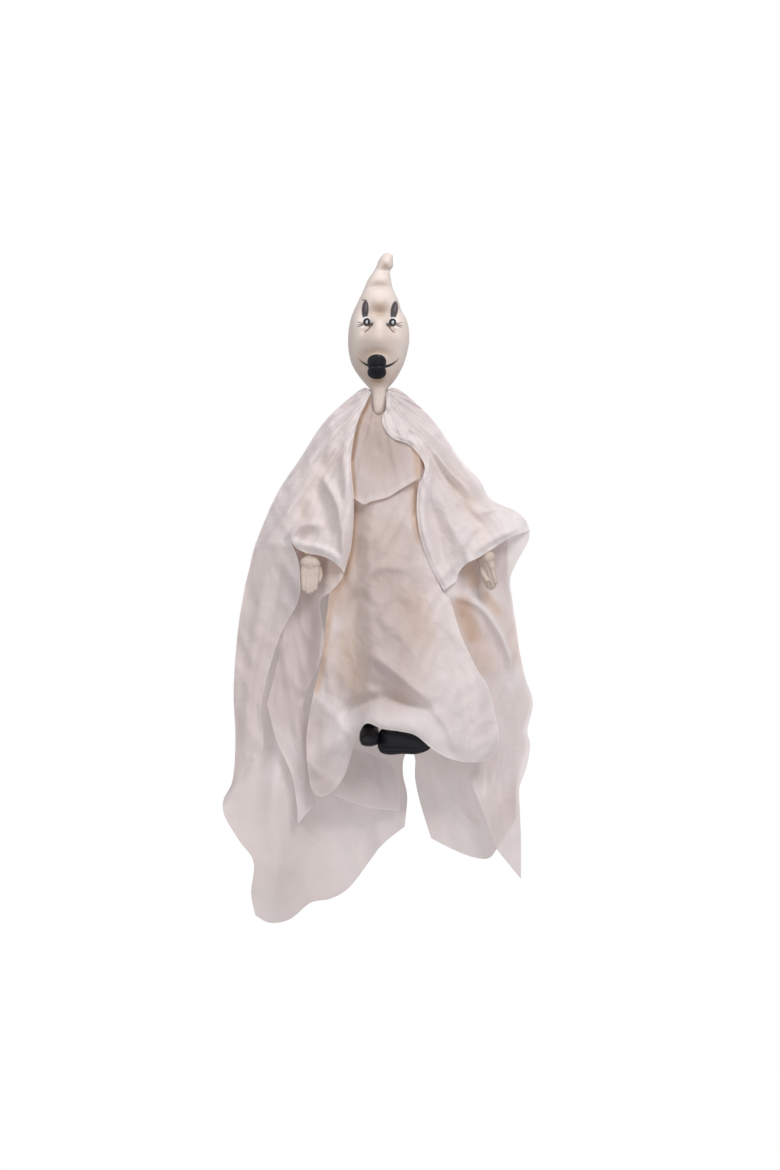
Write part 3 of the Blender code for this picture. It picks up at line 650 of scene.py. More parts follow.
def make_head(material):
    # Tip to chin: height, centre, half width, and depth in front and behind
    stations = [
        (0, 0.6, 1.2, 1.2, 1.2),
        (-1.5, 1.2, 3.6, 3.4, 3.4),
        (-5, 0, 5.2, 5.2, 4.6),
        (-10, -1, 6.2, 6, 5),
        (-13.6, -3.1, 6.1, 5.4, 5.8),
        (-20, -4.9, 8.6, 8.5, 9),
        (-27, -5.6, 10.9, 10.5, 11.5),
        (-35, -5.6, 14.6, 14, 15),
        (-43, -6.2, 17.8, 17, 18.5),
        (-50, -5.6, 21, 19.5, 21),
        (-58, -5.4, 22.6, 21, 22.5),
        (-67, -5.6, 22.9, 21, 22.5),
        (-75, -6, 21.8, 20, 21),
        (-83, -6.2, 19.6, 18, 18.5),
        (-90, -6, 16, 15.5, 15),
        (-96, -5.6, 11.8, 12, 11),
        (-100.5, -5.5, 7.8, 8.4, 7.8),
        (-103.5, AXIS_X, NECK_RADIUS, NECK_FRONT, NECK_RADIUS),
    ]
    rings = []
    for z, centre, half_width, front, back in smooth(stations, HEAD_RINGS):
        ring = []
        for k in range(HEAD_FACES):
            s = 2 * k / HEAD_FACES - 1
            angle = pi * s * (0.55 + 0.45 * abs(s))
            square = min(max((-98.0 - z) / 6.0, 0.0), 1.0)
            power = 1.0 - 0.35 * square
            x = centre + half_width * copysign(abs(sin(angle)) ** power, sin(angle))
            reach = front if cos(angle) > 0 else back
            d = reach * copysign(abs(cos(angle)) ** power, cos(angle))
            if cos(angle) > 0:
                d += face_relief(x, z) * cos(angle) ** 0.5
            ring.append((x, z, d))
        rings.append(ring)
    neck = rings[-1]
    for z, front in ((-107.0, 7.6), (-120.0, 7.9), (-122.4, 7.3), (NECK_END, NECK_RADIUS)):
        rings.append([(x, z, d * front / NECK_FRONT if d > 0 else d) for x, _, d in neck])
    head = loft("cast_head", rings, material, "bisque", "head")
    values = []
    for v in head.data.vertices:
        x, z = v.co.x / MM, v.co.z / MM
        values.append(mouth(x, z) if v.co.y < 0 else 0.0)
    attribute(head, "lips", values)
    return head


# Stuffed body

def level(z, centre, half_width, front, back, faces):
    """A level ring whose front may stand out further than its back."""
    ring = []
    for k in range(faces):
        angle = 2 * pi * k / faces
        reach = front if cos(angle) > 0 else back
        ring.append((centre + half_width * sin(angle), z, reach * cos(angle)))
    return ring


def hoop(centre, radius, side, other, faces):
    """A ring round a centre, in the plane of two directions."""
    angles = [2 * pi * i / faces for i in range(faces)]
    return [centre + radius * (cos(angle) * side + sin(angle) * other) for angle in angles]


def tube_rings(path, radii, faces, steps, end=None):
    """Rings square to a path, whose radius runs smoothly through the given ones; the last may face an end."""
    stations = smooth([(*point, radius) for point, radius in zip(path, radii)], steps)
    centres = stations[:, :3]
    rings = []
    for k, (x, z, d, radius) in enumerate(stations.tolist()):
        before = centres[max(k - 1, 0)]
        after = centres[min(k + 1, steps)]
        way = Vector(end if end and k == steps else after - before).normalized()
        side = way.cross(Vector((0.0, 0.0, 1.0))).normalized()
        rings.append(hoop(Vector((x, z, d)), radius, side, way.cross(side), faces))
    return rings


def creased(rings, depth, seed):
    """Small puckers over stuffed cloth."""
    shaped = []
    for j, ring in enumerate(rings):
        centre = sum((Vector(p) for p in ring), Vector()) / len(ring)
        new = []
        for i, point in enumerate(ring):
            angle = 2 * pi * i / len(ring)
            wave = sin(3 * angle + 0.35 * j + seed) + 0.6 * sin(5 * angle - 0.5 * j + 2 * seed)
            out = Vector(point) - centre
            new.append(centre + out * (1 - depth * (1 + wave) / max(out.length, 1.0)))
        shaped.append(new)
    return shaped


def make_body(material):
    """Torso, arms and legs, stuffed, sewn on where they meet the torso."""
    stations = [
        (NECK_END - SEAT_GAP, AXIS_X, 6, 6, 6),
        (-129, AXIS_X, 13, 10, 11),
        (-140, -4, 21, 0.75 * TORSO_DEPTH, 0.8 * TORSO_DEPTH),
        (-165, BODY_X, 27, TORSO_DEPTH, TORSO_DEPTH),
        (-200, BODY_X, 29, 1.05 * TORSO_DEPTH, TORSO_DEPTH),
        (-235, BODY_X, 33, 1.1 * TORSO_DEPTH, 1.1 * TORSO_DEPTH),
        (-258, BODY_X, 34, 1.1 * TORSO_DEPTH, 1.15 * TORSO_DEPTH),
        (-272, BODY_X, 26, 0.8 * TORSO_DEPTH, 0.8 * TORSO_DEPTH),
        (-276, BODY_X, 12, 0.4 * TORSO_DEPTH, 0.4 * TORSO_DEPTH),
    ]
    rings = [level(*row, 56) for row in smooth(stations, 44).tolist()]
    pieces = [loft("stuffed_torso", creased(rings, 0.35, 0.4), material, "cream_cloth", "torso")]
    arms = {
        "arm_left": [(-14.0, -142.0, 0.0), (-46.0, -164.0, 2.0), (-59.0, -194.0, 8.0), WRIST_LEFT],
        "arm_right": [(8.0, -142.0, 0.0), (44.0, -164.0, 2.0), (66.0, -196.0, 7.0), WRIST_RIGHT],
    }
    for name, path in arms.items():
        radii = [ARM_RADIUS, ARM_RADIUS, 0.9 * ARM_RADIUS, WRIST_RADIUS]
        end = Vector(path[3]) - Vector(path[2])
        rings = creased(tube_rings(path, radii, 32, 36, end), 0.25, 1.0)
        pieces.append(loft("stuffed_" + name, rings, material, "cream_cloth", name))
    legs = {
        "leg_left": [(-18.0, -250.0, 0.0), (-21.0, -290.0, 8.0), (-17.0, -325.0, 12.0), ANKLE_LEFT],
        "leg_right": [(14.0, -250.0, 0.0), (24.0, -290.0, 10.0), (17.0, -325.0, 13.0), ANKLE_RIGHT],
    }
    for name, path in legs.items():
        radii = [LEG_RADIUS, LEG_RADIUS, 0.75 * LEG_RADIUS, ANKLE_RADIUS]
        rings = creased(tube_rings(path, radii, 36, 36, (0.0, -1.0, 0.0)), 0.3, 2.2)
        pieces.append(loft("stuffed_" + name, rings, material, "cream_cloth", name))
    return pieces


# Hands and shoes

def capsule(bm, start, end, radius_start, radius_end):
    """A rounded rod between two points (x, z, d)."""
    a, b = Vector(start), Vector(end)
    way = (b - a).normalized()
    side = way.orthogonal().normalized()
    rings = []
    for share in np.linspace(0.0, 1.0, 7)[1:].tolist():
        rings.append((a - way * radius_start * cos(share * pi / 2), radius_start * sin(share * pi / 2)))
    for share in np.linspace(1.0, 0.0, 7)[:-1].tolist():
        rings.append((b + way * radius_end * cos(share * pi / 2), radius_end * sin(share * pi / 2)))
    skin(bm, [hoop(centre, radius, side, way.cross(side), ROD_FACES) for centre, radius in rings])


def fuse(obj):
    """Make one smooth skin of overlapping shapes."""
    remesh = obj.modifiers.new("skin", "REMESH")
    remesh.mode = "VOXEL"
    remesh.voxel_size = HAND_VOXEL * MM
    soften = obj.modifiers.new("soften", "SMOOTH")
    soften.factor = 0.5
    soften.iterations = 3
    graph = bpy.context.evaluated_depsgraph_get()
    mesh = bpy.data.meshes.new_from_object(obj.evaluated_get(graph))
    obj.modifiers.clear()
    obj.data = mesh
    mesh.shade_smooth()


def make_hand(name, arm, wrist, turn, lean, thumb, material, replaced):
    """A cast hand: wrist, the back of the hand, four fingers held together and the thumb."""
    way = (Vector(wrist) - Vector(arm)).normalized()
    across = Vector((cos(turn), 0.0, sin(turn)))
    across = (across - across.dot(way) * way).normalized()
    out = way.cross(across)
    start = Vector(wrist) + SEAT_GAP * way

    def at(along, side, rise):
        return start + along * way + (side + lean * along / 31.0) * across + rise * out

    bm = bmesh.new()
    capsule(bm, at(3.6, 0, 0), at(9, 0, 0), 4.3, 5)
    capsule(bm, at(7, -2.4, 0.6), at(7.4, 3, 0.6), 5.2, 5.2)
    for side, root, knuckle, tip, radius in (
        (-4.9, 8, 18.5, 26.6, 2),
        (-1.7, 8, 19.5, 28.8, 2.15),
        (1.6, 8, 19.4, 28.6, 2.15),
        (4.7, 8, 18.4, 26.8, 1.95),
    ):
        capsule(bm, at(root, 0.7 * side, 0.6), at(knuckle - 3, side, 0.3), 3.6, 2.6)
        capsule(bm, at(knuckle - 4, side, 0.3), at(tip - 4, 0.95 * side, -0.2), 1.15 * radius, radius)
        capsule(bm, at(tip - 4, 0.95 * side, -0.2), at(tip, 0.9 * side, -1), radius, 0.82 * radius)
    points = [start + along * way + side * across + rise * out for along, side, rise in thumb]
    for k, (first, second) in enumerate(zip(points, points[1:])):
        capsule(bm, first, second, 2.2 - 0.15 * k, 2.05 - 0.15 * k)
    hand = make_object(name, bm, material, "bisque", replaced)
    fuse(hand)
    return hand


def make_shoe(name, heel, toe, point, ankle, tall, material, replaced):
    """A cast shoe along a line from heel to toe, with a welt above the sole and a collar under the leg."""
    stations = [
        (0.00, 0.45, 0.45 + 0.33 * point, 0.25),
        (0.06, 0.80, 0.85 + 0.12 * point, 0.08),
        (0.22, 1.00, 1.00, 0.00),
        (0.45, 0.92, 0.92, 0.02),
        (0.70, 1.00 - 0.25 * point, 0.75, 0.00),
        (0.88, 0.85 - 0.40 * point, 0.60, 0.04 * (1 + point)),
        (0.97, 0.55 - 0.25 * point, 0.50, 0.09 * (1 + point)),
        (1.00, 0.25 - 0.12 * point, 0.42, 0.14 * (1 + point)),
    ]
    heel = Vector(heel)
    way = Vector(toe) - heel
    across = way.cross(Vector((0.0, 1.0, 0.0))).normalized()
    rings = []
    for share, width, top, sole in smooth(stations, 60).tolist():
        ring = []
        for k in range(SHOE_FACES):
            angle = 2 * pi * k / SHOE_FACES
            rise = 0.5 + 0.5 * copysign(abs(cos(angle)) ** 0.6, cos(angle))
            welt = 0.05 * exp(-((rise - 0.13) / 0.07) ** 2)
            side = sin(angle) * (1 - 0.10 * exp(-((rise - 0.24) / 0.05) ** 2) + welt)
            height = tall * (sole + (top - sole) * rise)
            out = 0.5 * SHOE_WIDTH * width * side * across
            ring.append(heel + share * way + out + Vector((0.0, height, 0.0)))
        rings.append(ring)
    shoe = loft(name, rings, material, "black_glaze", replaced)
    bm = bmesh.new()
    bm.from_mesh(shoe.data)
    collar = []
    for z, radius in (
        (heel.y + 0.5 * SHOE_HEIGHT, 0.95 * ANKLE_RADIUS),
        (ankle[1] - 2.4, 0.97 * ANKLE_RADIUS),
        (ankle[1] - 1.2, ANKLE_RADIUS),
        (ankle[1] - SEAT_GAP, 0.96 * ANKLE_RADIUS),
    ):
        ring = level(z, ankle[0], radius, radius, radius, COLLAR_FACES)
        collar.append([(x, z, ankle[2] + d) for x, z, d in ring])
    skin(bm, collar)
    bm.to_mesh(shoe.data)
    bm.free()
    shoe.data.shade_smooth()
    return shoe


# Cloth

def robe_back_grids():
    """Left and right halves share the seam down the back as far as the slit between the lobes."""
    nape = (AXIS_X, -104, -NECK_RADIUS - SEAT_GAP - 0.4)
    fork = (17, -372, -32)
    seam = edge([nape, (-4, -125, -22), (-3, -170, -34), (0, -230, -40), (8, -300, -41), fork], 19)
    slit_left = edge([fork, (13, -382, -27), (13, -394, -22), (16, -409, -17), (14, -431, -13)], 6)
    slit_right = edge([fork, (22, -380, -27), (22, -395, -22), (26, -414, -16), (34, -440, -11)], 6)
    left = patch(
        11, 25,
        [(-15, -101, -4), (-10.5, -102.5, -7), nape],
        [(-98, -497, -3), (-87, -503, -6), (-72, -501, -10), (-57, -489, -14), (-42, -486, -16),
         (-28, -478, -16), (-12, -457, -15), (-3, -445, -15), (14, -431, -13)],
        [(-22, -104.5, -4), (-45, -125, -4), (-65, -155, -4), (-84, -185, -3), (-101, -230, -2),
         (-110, -275, -2), (-114, -325, -1), (-113, -365, 0), (-115, -395, 1), (-122, -410, 2), (-121, -422, 2),
         (-110, -440, 2), (-99, -456, 1), (-101, -480, -1)],
        join(seam, slit_left),
    )
    right = patch(
        11, 25,
        [nape, (-0.5, -102.5, -7), (3.75, -101, -4)],
        [(34, -440, -11), (49, -448, -14), (65, -454, -14), (77, -455, -12), (84, -447, -9), (97, -425, -1)],
        join(seam, slit_right),
        [(13.5, -105, -4), (34, -125, -4), (54, -155, -4), (75, -185, -3), (90, -210, -2), (91, -245, -1),
         (94, -262, -1), (99, -300, -1), (105, -325, -1), (108, -338, -1), (103, -358, 0), (105, -370, 1),
         (101, -385, 2), (98, -400, 2)],
    )
    for grid in (left, right):
        gathers(grid, 4, 2.4, 0.5)
        pleats(grid, 3, 7, 260, 8, 1)
        pleats(grid, 8, 17, 120, 3, 1)
    fold(
        left,
        (9, 6, (-50, -190), (-78, -300), (-84, -420), (-80, -495)),
        (9, -7, (-20, -180), (-38, -300), (-52, -420), (-58, -485)),
        (8, 5, (0, -240), (-12, -340), (-18, -400), (-30, -470)),
        (3, 2.2, (-40, -400), (-27, -411), (-11, -417), (5, -420)),
        (3, 2.5, (-70, -390), (-68, -425), (-50, -445), (-30, -453)),
    )
    fold(
        right,
        (8, -6, (30, -180), (44, -300), (42, -390), (48, -440)),
        (8, 5, (60, -200), (72, -310), (70, -390), (78, -448)),
        (3, 2.5, (37, -375), (42, -400), (58, -423), (80, -437)),
        (3, 2.5, (58, -380), (71, -414), (84, -437)),
    )
    for grid in (left, right):
        crumple(grid, 5, 22, 60, 1.8, 20)
        crumple(grid, 15, 9, 20, 0.6, -35)
    return [left, right]


def robe_left_grids():
    """The cape over the left shoulder, whose outer part carries on down as the wing."""
    shared = edge([(-98, -218, -1), (-84, -217, 12), (-71, -217, 18)], 5)
    rim = edge([(-71, -217, 18), (-66, -222, 21), (-58, -225.5, 23), (-48, -227.5, 25), (-40, -231, 26),
        (-34, -236, 26), (-31, -240, 25)], 8)
    cape = patch(
        13, 14,
        [(-15, -101, -2.5), (-13, -103, 0), (-11.2, -105, 2)],
        join(shared, rim),
        [(-22, -104.5, -3), (-45, -125, -3), (-65, -155, -3), (-84, -185, -2)],
        [(-15, -113, 9), (-22, -130, 16), (-26, -155, 22), (-24, -183, 26), (-24, -200, 27), (-26, -221, 27)],
    )
    wing = patch(
        5, 14,
        shared,
        [(-122, -411, 4), (-119, -408, 5), (-114, -402, 5)],
        [(-101, -230, -1), (-110, -275, -1), (-114, -325, 0), (-113, -365, 1), (-115, -395, 2)],
        [(-66, -228, 17), (-64, -240, 16), (-65, -260, 14), (-80, -289, 10), (-93, -336, 8), (-92, -370, 7),
         (-104, -386, 6)],
    )
    gathers(cape, 2, 1.4, 0.4)
    pleats(cape, 1, 9, 150, 4.5, 0.5)
    pleats(cape, 4, 24, 70, 1.4, 0.5)
    pleats(wing, 1, 9, 150, 4.5, 0.5)
    fold(
        cape,
        (2.8, 4.5, (-50, -160), (-45, -172), (-37, -186), (-33, -205), (-32, -224), (-31, -238)),
        (4, -3, (-56, -172), (-47, -188), (-42, -206), (-40, -220)),
        (3.5, 2.5, (-44, -122), (-40, -140), (-46, -160)),
        (2.8, 4.5, (-76, -216), (-66, -207), (-56, -204), (-44, -206)),
        (2.5, -2, (-70, -222), (-60, -212), (-48, -213)),
        (5, 2.5, (-30, -120), (-52, -150), (-70, -190), (-80, -215)),
        (4, -1.8, (-60, -160), (-66, -185), (-60, -205)),
        (3.5, -1.8, (-46, -150), (-50, -180), (-46, -214)),
        (3.5, 3.5, (-15, -108), (-19, -116), (-27, -132), (-31, -155), (-29, -183), (-29, -205), (-33, -235)),
        (2.6, 3, (-76, -213), (-64, -218), (-56, -220), (-47, -222), (-38, -227), (-31, -237)),
    )
    fold(
        wing,
        (5, 3, (-86, -225), (-96, -280), (-103, -340), (-106, -385)),
        (3, -1.5, (-76, -225), (-84, -270), (-96, -320), (-98, -370)),
    )
    roll(cape, "right", 2.2, 3.5)
    for grid in (cape, wing):
        crumple(grid, 6, 14, 34, 1.2, 30)
        crumple(grid, 16, 5, 10, 0.5, -40)
    return [cape, wing]


def robe_right_grids():
    """The cape over the right shoulder, down to the rim of the sleeve mouth."""
    cape = patch(
        13, 18,
        [(0.4, -105, 2), (2.2, -103, 0), (3.75, -101, -2.5)],
        [(43, -253, 24), (52, -246, 22), (54, -240, 22), (60, -233, 22), (68, -229, 22), (78, -223, 20),
         (92, -214, 14), (108, -208, 4)],
        [(0.5, -112, 7), (0, -118, 10), (-3, -127, 12), (4, -139, 17), (18, -145, 22), (28, -158, 24),
         (28, -167, 25), (24, -176, 26), (23, -195, 27), (26, -215, 27), (33, -234, 26)],
        [(13.5, -105, -3), (35, -125, -3), (56, -155, -3), (70, -170, -2), (77, -183, -1), (86, -189, 2),
         (96, -193, 3), (104, -200, 4)],
    )
    gathers(cape, 2, 1.4, 0.4)
    pleats(cape, 2, 9, 150, 4.5, 0.5)
    pleats(cape, 5, 24, 70, 1.4, 0.5)
    fold(
        cape,
        (3, 5, (2, -134), (18, -133), (27, -138), (37, -149), (48, -165), (60, -175), (72, -193)),
        (3, 4.5, (66, -196), (74, -194), (84, -191), (98, -197), (106, -206)),
        (4, -3, (40, -160), (52, -178), (66, -200), (84, -204)),
        (2.8, 3.5, (62, -228), (72, -220), (88, -211), (104, -205)),
        (3.5, -2.2, (20, -150), (34, -168), (50, -190), (70, -205)),
        (4, -2.6, (38, -245), (40, -215), (30, -185)),
        (3.5, 2, (46, -246), (52, -222), (44, -196)),
        (3, -1.5, (60, -230), (64, -215), (80, -204)),
        (3.5, 3, (4, -112), (6, -124), (12, -134), (30, -150), (32, -168), (28, -195), (32, -222)),
    )
    roll(cape, "left", 2.4, 3.5)
    crumple(cape, 7, 14, 34, 1.2, -30)
    crumple(cape, 17, 5, 10, 0.5, 40)
    return [cape]


def gown_grids():
    """The centre cloth, whose hem stands out over the shoes and hangs in a tongue on the left."""
    gown = patch(
        17, 22,
        [(-17, -128, 13), (-5, -127, 15), (7, -128, 13)],
        [(-59, -380, 12), (-56, -400, 9), (-49, -407, 9), (-40, -403, 10), (-31, -391, 13), (-26, -376, 19),
         (-20, -359, 28), (-14, -351, 34), (-3, -355, 37), (11, -357, 38), (22, -360, 38), (33, -369, 37),
         (44, -376, 34), (57, -380, 30), (70, -380, 24), (80, -377, 18)],
        [(-30, -160, 14), (-36, -200, 16), (-41, -245, 18), (-44, -272, 20), (-48, -305, 18), (-54, -330, 16),
         (-59, -360, 14)],
        [(24, -150, 14), (32, -190, 16), (35, -225, 20), (40, -250, 21), (48, -262, 21), (56, -287, 22),
         (68, -312, 22), (76, -325, 22), (83, -354, 20), (84, -368, 19)],
    )
    fold(
        gown,
        (3.5, 2.4, (-30, -262), (-18, -250), (-4, -236), (26, -239)),
        (4, -2, (-24, -252), (-10, -268), (-2, -290)),
        (4, 2.5, (-40, -270), (-44, -300), (-40, -340)),
        (4, -2, (20, -236), (28, -262), (44, -290)),
        (3.6, 6, (-14, -298), (8, -314), (36, -338)),
        (5, -4.5, (-14, -318), (2, -328), (22, -338)),
        (3.6, -6, (-38, -348), (-22, -337), (-2, -332), (18, -335), (38, -346)),
        (8, 6, (-64, -392), (-46, -374), (-26, -358), (-12, -350), (4, -352), (22, -355), (44, -368)),
        (4, 4, (32, -336), (46, -354), (54, -376)),
        (5, 2.5, (48, -262), (60, -300), (70, -340), (72, -375)),
        (4, -2, (40, -270), (52, -310), (60, -350), (62, -378)),
        (4, 1.2, (-8, -200), (-4, -225), (-10, -245)),
        (4, 1, (14, -190), (18, -215), (12, -238)),
        (3.5, 1.4, (-26, -205), (-28, -235), (-22, -258)),
    )
    crumple(gown, 9, 26, 60, 2.2, 35)
    crumple(gown, 19, 10, 24, 1.1, -30)
    crumple(gown, 29, 5, 12, 0.5, 60)
    return [gown]


def bib_grids():
    """The short cowl on the chest, whose lower edge hangs in a swag."""
    bib = patch(
        9, 9,
        [(-12.4, -106, 5), (-11.4, -113, 6), (-9.6, -119.5, 6.8), (-5.4, -122.6, 7.2), (-1.2, -119.5, 6.8),
         (0.4, -114, 6), (1.4, -108, 5)],
        [(-27, -182, 26), (-17, -189, 27), (-11, -187, 28), (1, -184, 28), (11, -178, 28), (27, -168, 26)],
        [(-25, -132, 14), (-29, -158, 21)],
        [(14, -132, 16), (24, -150, 22)],
    )
    fold(
        bib,
        (3, 1.5, (-18, -120), (-20, -150), (-16, -182)),
        (2.5, -1.5, (-8, -126), (-7, -142), (-8, -155)),
    )
    pleats(bib, 6, 12, 60, 1.4)
    crumple(bib, 10, 8, 20, 0.5, 15)
    return [bib]


def sleeve_back_left_grids():
    """Behind the left hand: the cuff's inside, lying on the gown, then the inner wing that hangs behind it."""
    shared = edge([(-89, -338, 4), (-75, -334, 5), (-60, -329, 7)], 9)
    cuff = patch(
        9, 11,
        [(-86, -212, 3), (-70, -211, 3), (-56, -213, 4), (-44, -220, 10), (-33, -232, 20)],
        shared,
        [(-86, -235, 3), (-84, -260, 3), (-82, -289, 4), (-80, -302, 4)],
        [(-32, -243, 20), (-41, -254, 18), (-49, -262, 15), (-46, -288, 14), (-49, -306, 12)],
    )
    wing = patch(
        9, 9,
        shared,
        [(-66, -428, 2), (-52, -412, -1), (-40, -407, -2), (-27, -412, -4), (-10, -417, -6), (10, -419, -7)],
        [(-82, -365, 4), (-71, -390, 4), (-67, -412, 3)],
        [(-61, -346, 5), (-40, -366, 0), (-12, -376, -5), (4, -384, -8), (10, -400, -8)],
    )
    fold(
        cuff,
        (4, 3, (-74, -262), (-76, -300), (-70, -330)),
        (3, 2, (-50, -262), (-52, -290), (-58, -320)),
    )
    fold(
        wing,
        (4, 3, (-70, -342), (-62, -375), (-60, -410)),
    )
    for grid in (cuff, wing):
        pleats(grid, 11, 14, 120, 2.2)
        crumple(grid, 11, 10, 24, 1.1, 15)
    return [cuff, wing]


def sleeve_back_right_grids():
    """Behind the right hand: the sleeve's back layer, running down to the sharp corner."""
    sleeve = patch(
        9, 18,
        [(35, -240, 20), (50, -236, 14), (62, -225, 6), (80, -214, 2), (107.5, -208, 2)],
        [(83, -447, 5), (92, -458, 5), (101, -469, 6)],
        [(40, -262, 20), (50, -290, 18), (57, -320, 14), (58, -350, 9), (60, -385, 6), (71, -414, 5)],
        edge([(107.5, -208, 2), (107, -215, 1), (103, -223, 0), (98, -232, 0), (93, -245, 0), (95, -262, 0),
              (98, -283, 0), (100, -298, 0), (104, -317, 0), (110, -337, 0), (106, -358, 1), (108, -369, 2),
              (105, -386, 3), (100, -400, 3), (100, -414, 4), (101, -439, 5), (101, -469, 5)], 18),
    )
    fold(
        sleeve,
        (3.5, 6, (43, -254), (68, -263), (82, -279), (92, -300), (95, -322)),
        (5, -3, (50, -268), (64, -280), (76, -300)),
        (5, 3, (76, -330), (84, -370), (80, -400), (92, -450)),
        (4, -2, (66, -330), (72, -370), (74, -410)),
    )
    pleats(sleeve, 12, 12, 160, 2.2)
    crumple(sleeve, 12, 10, 28, 1.1, -15)
    return [sleeve]


def make_cloth(material, solids):
    """Lay the cloths from the back to the front, each over what lies behind it."""
    legs = [solids["stuffed_leg_left"], solids["stuffed_leg_right"]]
    torso = solids["stuffed_torso"]
    shoes = [solids["cast_shoe_left"], solids["cast_shoe_right"]]
    back = sheet("robe_back", robe_back_grids(), material)
    right_sleeve = lay("sleeve_back_right", sleeve_back_right_grids(), [[back, torso, *legs]], material)
    gown = lay("gown_front", gown_grids(), [[back, right_sleeve, torso, *legs, *shoes]], material)
    bib = lay("bib", bib_grids(), [[torso, gown]], material)
    left_sleeve = lay("sleeve_back_left", sleeve_back_left_grids(), [[back, gown], [back]], material)
    below = [solids["cast_head"], torso, back, gown, bib]
    over_left = below + [left_sleeve, solids["stuffed_arm_left"], solids["cast_hand_left"]]
    left = lay("robe_left", robe_left_grids(), [over_left, over_left], material)
    over_right = below + [right_sleeve, solids["stuffed_arm_right"], solids["cast_hand_right"]]
    right = lay("robe_right", robe_right_grids(), [over_right], material)
    for cloth, name, *paths in (
        # Denser doubled cloth, with a painted highlight along the fold ridges and hems
        (gown, "doubled",
         (10, 0.5, (-60, -386), (-44, -366), (-24, -350), (-14, -346), (4, -348), (22, -353), (33, -362),
             (48, -378))),
        (bib, "doubled", (2.6, 0.7, (-27, -180), (-17, -187), (-11, -185), (1, -182), (11, -176), (26, -167))),
        (right_sleeve, "doubled", (6, 0.9, (43, -254), (68, -263), (82, -279), (92, -300), (95, -322))),
        (left_sleeve, "doubled", (2.6, 0.8, (-33, -243), (-41, -252), (-49, -259))),
        (left, "doubled",
         (4, 0.8, (-76, -213), (-64, -218), (-56, -221), (-47, -223), (-38, -228), (-32, -237)),
         (3, 0.35, (-13, -110), (-17, -116), (-25, -132), (-29, -155), (-27, -183), (-27, -205), (-31, -235))),
        (right, "doubled",
         (4, 0.8, (43, -251), (52, -244), (54, -238), (60, -231), (68, -227), (78, -221), (92, -212),
             (106, -207)),
         (3, 0.4, (2, -112), (2, -122), (6, -136), (20, -143), (30, -156), (31, -168), (27, -178), (26, -195),
             (29, -215), (36, -234), (44, -250))),
        # Painted shade: the bib and middle of the gown, the lower back and the wings darkened
        (bib, "worn", (26, 0.95, (-8, -112), (-2, -150)), (60, 0.5, (-8, -112), (-3, -150), (0, -180))),
        (gown, "worn",
         (30, 0.65, (-4, -222), (-2, -250), (0, -290), (-4, -318)),
         (40, 0.25, (-4, -160), (0, -240)),
         (14, 0.4, (-54, -350), (-50, -398))),
        (back, "worn", (300, 0.4, (-60, -200), (-60, -480)), (50, 0.6, (-95, -430), (-60, -485))),
        (left_sleeve, "worn", (44, 0.5, (-65, -225), (-68, -320)), (60, 0.15, (-40, -380), (-20, -415))),
        (right_sleeve, "worn", (200, 0.12, (80, -220), (80, -460)), (30, 0.4, (95, -425), (100, -465))),
        (left, "worn", (40, 0.35, (-112, -250), (-108, -400))),
        # Painted warm shade in the gaps beside the bib and the gown, and inside the sleeves
        (bib, "tan",
         (1.9, 0.9, (-12, -108), (-20, -130), (-25, -155), (-23, -183)),
         (3.5, 0.8, (22, -148), (24, -160), (24, -168))),
        (gown, "tan",
         (4, 0.9, (-24, -186), (-26, -221), (-31, -242), (-42, -266), (-47, -304), (-52, -326)),
         (9, 0.5, (-34, -238), (-37, -264)),
         (13, 0.35, (-36, -296), (-30, -318)),
         (11, 0.3, (20, -262), (26, -284)),
         (2.8, 0.7, (22, -172), (21, -195), (24, -215))),
        # Painted dark shade in the narrow gaps between the capes, the bib and the gown
        (bib, "crevice",
         (1.4, 1, (-11.5, -108), (-13.8, -114), (-20.6, -131), (-24.8, -155)),
         (1, 0.5, (-24.8, -155), (-23, -183)),
         (1.3, 1, (25, -152), (27, -160), (26.5, -168))),
        (gown, "crevice",
         (1.3, 0.6, (22, -176), (21, -196)),
         (1.3, 0.6, (-23, -190), (-25, -221), (-30, -240))),
        (left_sleeve, "tan", (16, 0.5, (-72, -222), (-56, -224), (-44, -232))),
        (right_sleeve, "tan",
         (7.5, 1, (57, -264), (61, -276), (65, -287)),
         (10, 0.5, (64, -284), (73, -308)),
         (6.5, 0.9, (60, -232), (66, -246)),
         (4, 0.7, (74, -256), (84, -270)),
         (6, 0.35, (84, -268), (94, -286), (99, -304))),
    ):
        mark(cloth, name, *paths)
    # Painted warm light where a cloth lies close to the stuffed body
    body = [torso, *legs, solids["stuffed_arm_left"], solids["stuffed_arm_right"]]
    for obj, reach, strength in (
        (right_sleeve, 9, 1), (gown, 6, 0.6), (bib, 4, 0.8),
        (left_sleeve, 9, 1), (left, 6, 0.35), (right, 6, 0.35),
    ):
        warm_over(obj, body, reach, strength)


# Camera, light and the white surroundings

